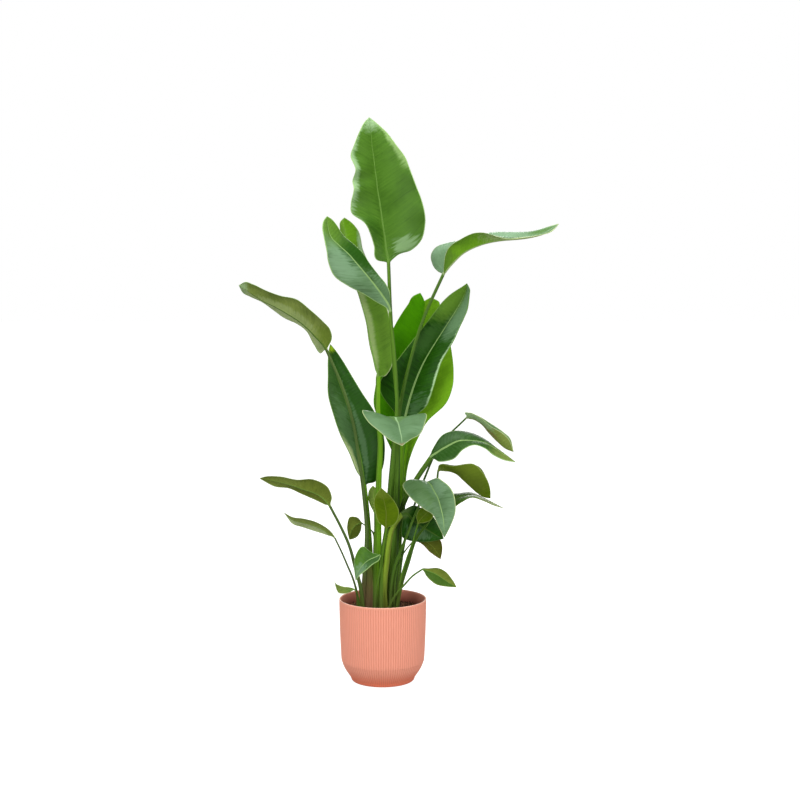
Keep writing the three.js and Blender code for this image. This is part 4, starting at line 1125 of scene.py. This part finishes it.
# The dark patch at its foot is painted shade.
make_leaf(
    "leaf_rim_left", upper_looks=AWAY, swell=(1.2, 1.2), veins=0.3, foot_height=0.2,
    upper=GREEN, under=PALE_OLIVE,
    patches=[(0, 0.05, 1.5, 0.3, SHADED, 0.6, 0.2)],
)
make_leaf(
    "leaf_front_upright", "leaf_young", upper_looks=AWAY, swell=(1.5, 1.6), veins=0.4, gloss=0.1, sheen=0.05,
    upper=OLIVE, under=OLIVE, rib=DULL_OLIVE, margin=PALE_OLIVE,
    patches=[(0, 0.9, 1.4, 0.2, DULL_OLIVE, 0.5, 0.3)],
)
# Its lime underside and pale patch are partly painted light shining through the small blade.
make_leaf(
    "leaf_small_round", "leaf_young", upper_looks=AWAY, swell=(1.3, 1.2), veins=0.3, sheen=0.03,
    upper=FRESH, under=LIME, rib=FRESH, margin=LIME, stalk=(FRESH, LIVELY),
    patches=[(0.3, 0.5, 1.5, 0.8, SAGE, 0.45, 0.2)],
)
make_leaf(
    "leaf_small_under", "leaf_young", swell=(1.4, 1.4), veins=0.3, sheen=0.05,
    upper=OLIVE, under=DULL_OLIVE, rib=DULL_OLIVE, margin=PALE_OLIVE,
)

# ------------------------------------------------------------
# The studio: a wide pale floor, a white surround, large soft lights overhead, left and right in front and
# behind, two weak ones low beside the pot, and the camera placed as for the photograph.
FLOOR_HALF_WIDTH = 60
FLOOR_COLOUR = "#9c9c9a"
FLOOR_ROUGHNESS = 0.9
FLOOR_GLOW = 0.95
WHITE = (1, 1, 1, 1)
CAMERA_PLACE = (0.0434, -3.2, 0.95)
CAMERA_PITCH = math.radians(-4.32)
FOCAL_PIXELS = 1286
PICTURE_PIXELS = 800
SENSOR = 36
SURROUND_LIGHT = 0.46
SURROUND_SEEN = 1.0

floor_mesh = bpy.data.meshes.new("studio_floor")
ends = ((-1, -1), (1, -1), (1, 1), (-1, 1))
corners = [(x * FLOOR_HALF_WIDTH, y * FLOOR_HALF_WIDTH, 0) for x, y in ends]
floor_mesh.from_pydata(corners, [], [(0, 1, 2, 3)])
floor_finish, floor_tree, floor_shader = new_material("studio_floor")
floor_seen = add_node(floor_tree, "ShaderNodeLightPath").outputs["Is Camera Ray"]
glow = times(floor_tree, floor_seen, FLOOR_GLOW)
feed(floor_tree, floor_shader, {"Base Color": FLOOR_COLOUR, "Roughness": FLOOR_ROUGHNESS})
feed(floor_tree, floor_shader, {"Emission Color": WHITE, "Emission Strength": glow})
floor_mesh.materials.append(floor_finish)
floor = new_object("studio_floor", floor_mesh)

world = bpy.data.worlds.new("studio")
world.use_nodes = True
world_tree = world.node_tree
surround_seen = add_node(world_tree, "ShaderNodeLightPath").outputs["Is Camera Ray"]
light = times(world_tree, surround_seen, SURROUND_SEEN - SURROUND_LIGHT)
light = plus(world_tree, light, SURROUND_LIGHT)
feed(world_tree, world_tree.nodes["Background"], {"Color": WHITE, "Strength": light})
bpy.context.scene.world = world


def soft_light(name, place, aim_height, size, watts):
    """A square soft light that shines from its place at the upright axis, at that height."""
    lamp = bpy.data.lights.new(name, "AREA")
    lamp.size = size
    lamp.energy = watts
    holder = new_object(name, lamp)
    holder.location = place
    aim = Vector((0, 0, aim_height)) - Vector(place)
    holder.rotation_euler = aim.to_track_quat("-Z", "Y").to_euler()


soft_light("overhead", (-0.3, -0.7, 3.2), aim_height=0.7, size=2.0, watts=62)
soft_light("front_left", (-1.6, -3.2, 1.7), aim_height=0.6, size=1.6, watts=38)
soft_light("front_right", (1.8, -3.0, 1.3), aim_height=0.5, size=1.6, watts=34)
soft_light("behind", (0.4, 3.2, 1.6), aim_height=0.6, size=1.8, watts=44)
soft_light("low_left", (-1.5, -0.9, 0.3), aim_height=0.12, size=0.9, watts=3.5)
soft_light("low_right", (1.5, -0.7, 0.3), aim_height=0.12, size=0.9, watts=4.5)

camera = bpy.data.cameras.new("camera")
camera.sensor_width = SENSOR
camera.lens = FOCAL_PIXELS / PICTURE_PIXELS * SENSOR
camera_holder = new_object("camera", camera)
camera_holder.location = CAMERA_PLACE
camera_holder.rotation_euler = (math.pi / 2 + CAMERA_PITCH, 0, 0)
bpy.context.scene.camera = camera_holder
bpy.context.scene.view_settings.view_transform = "Standard"
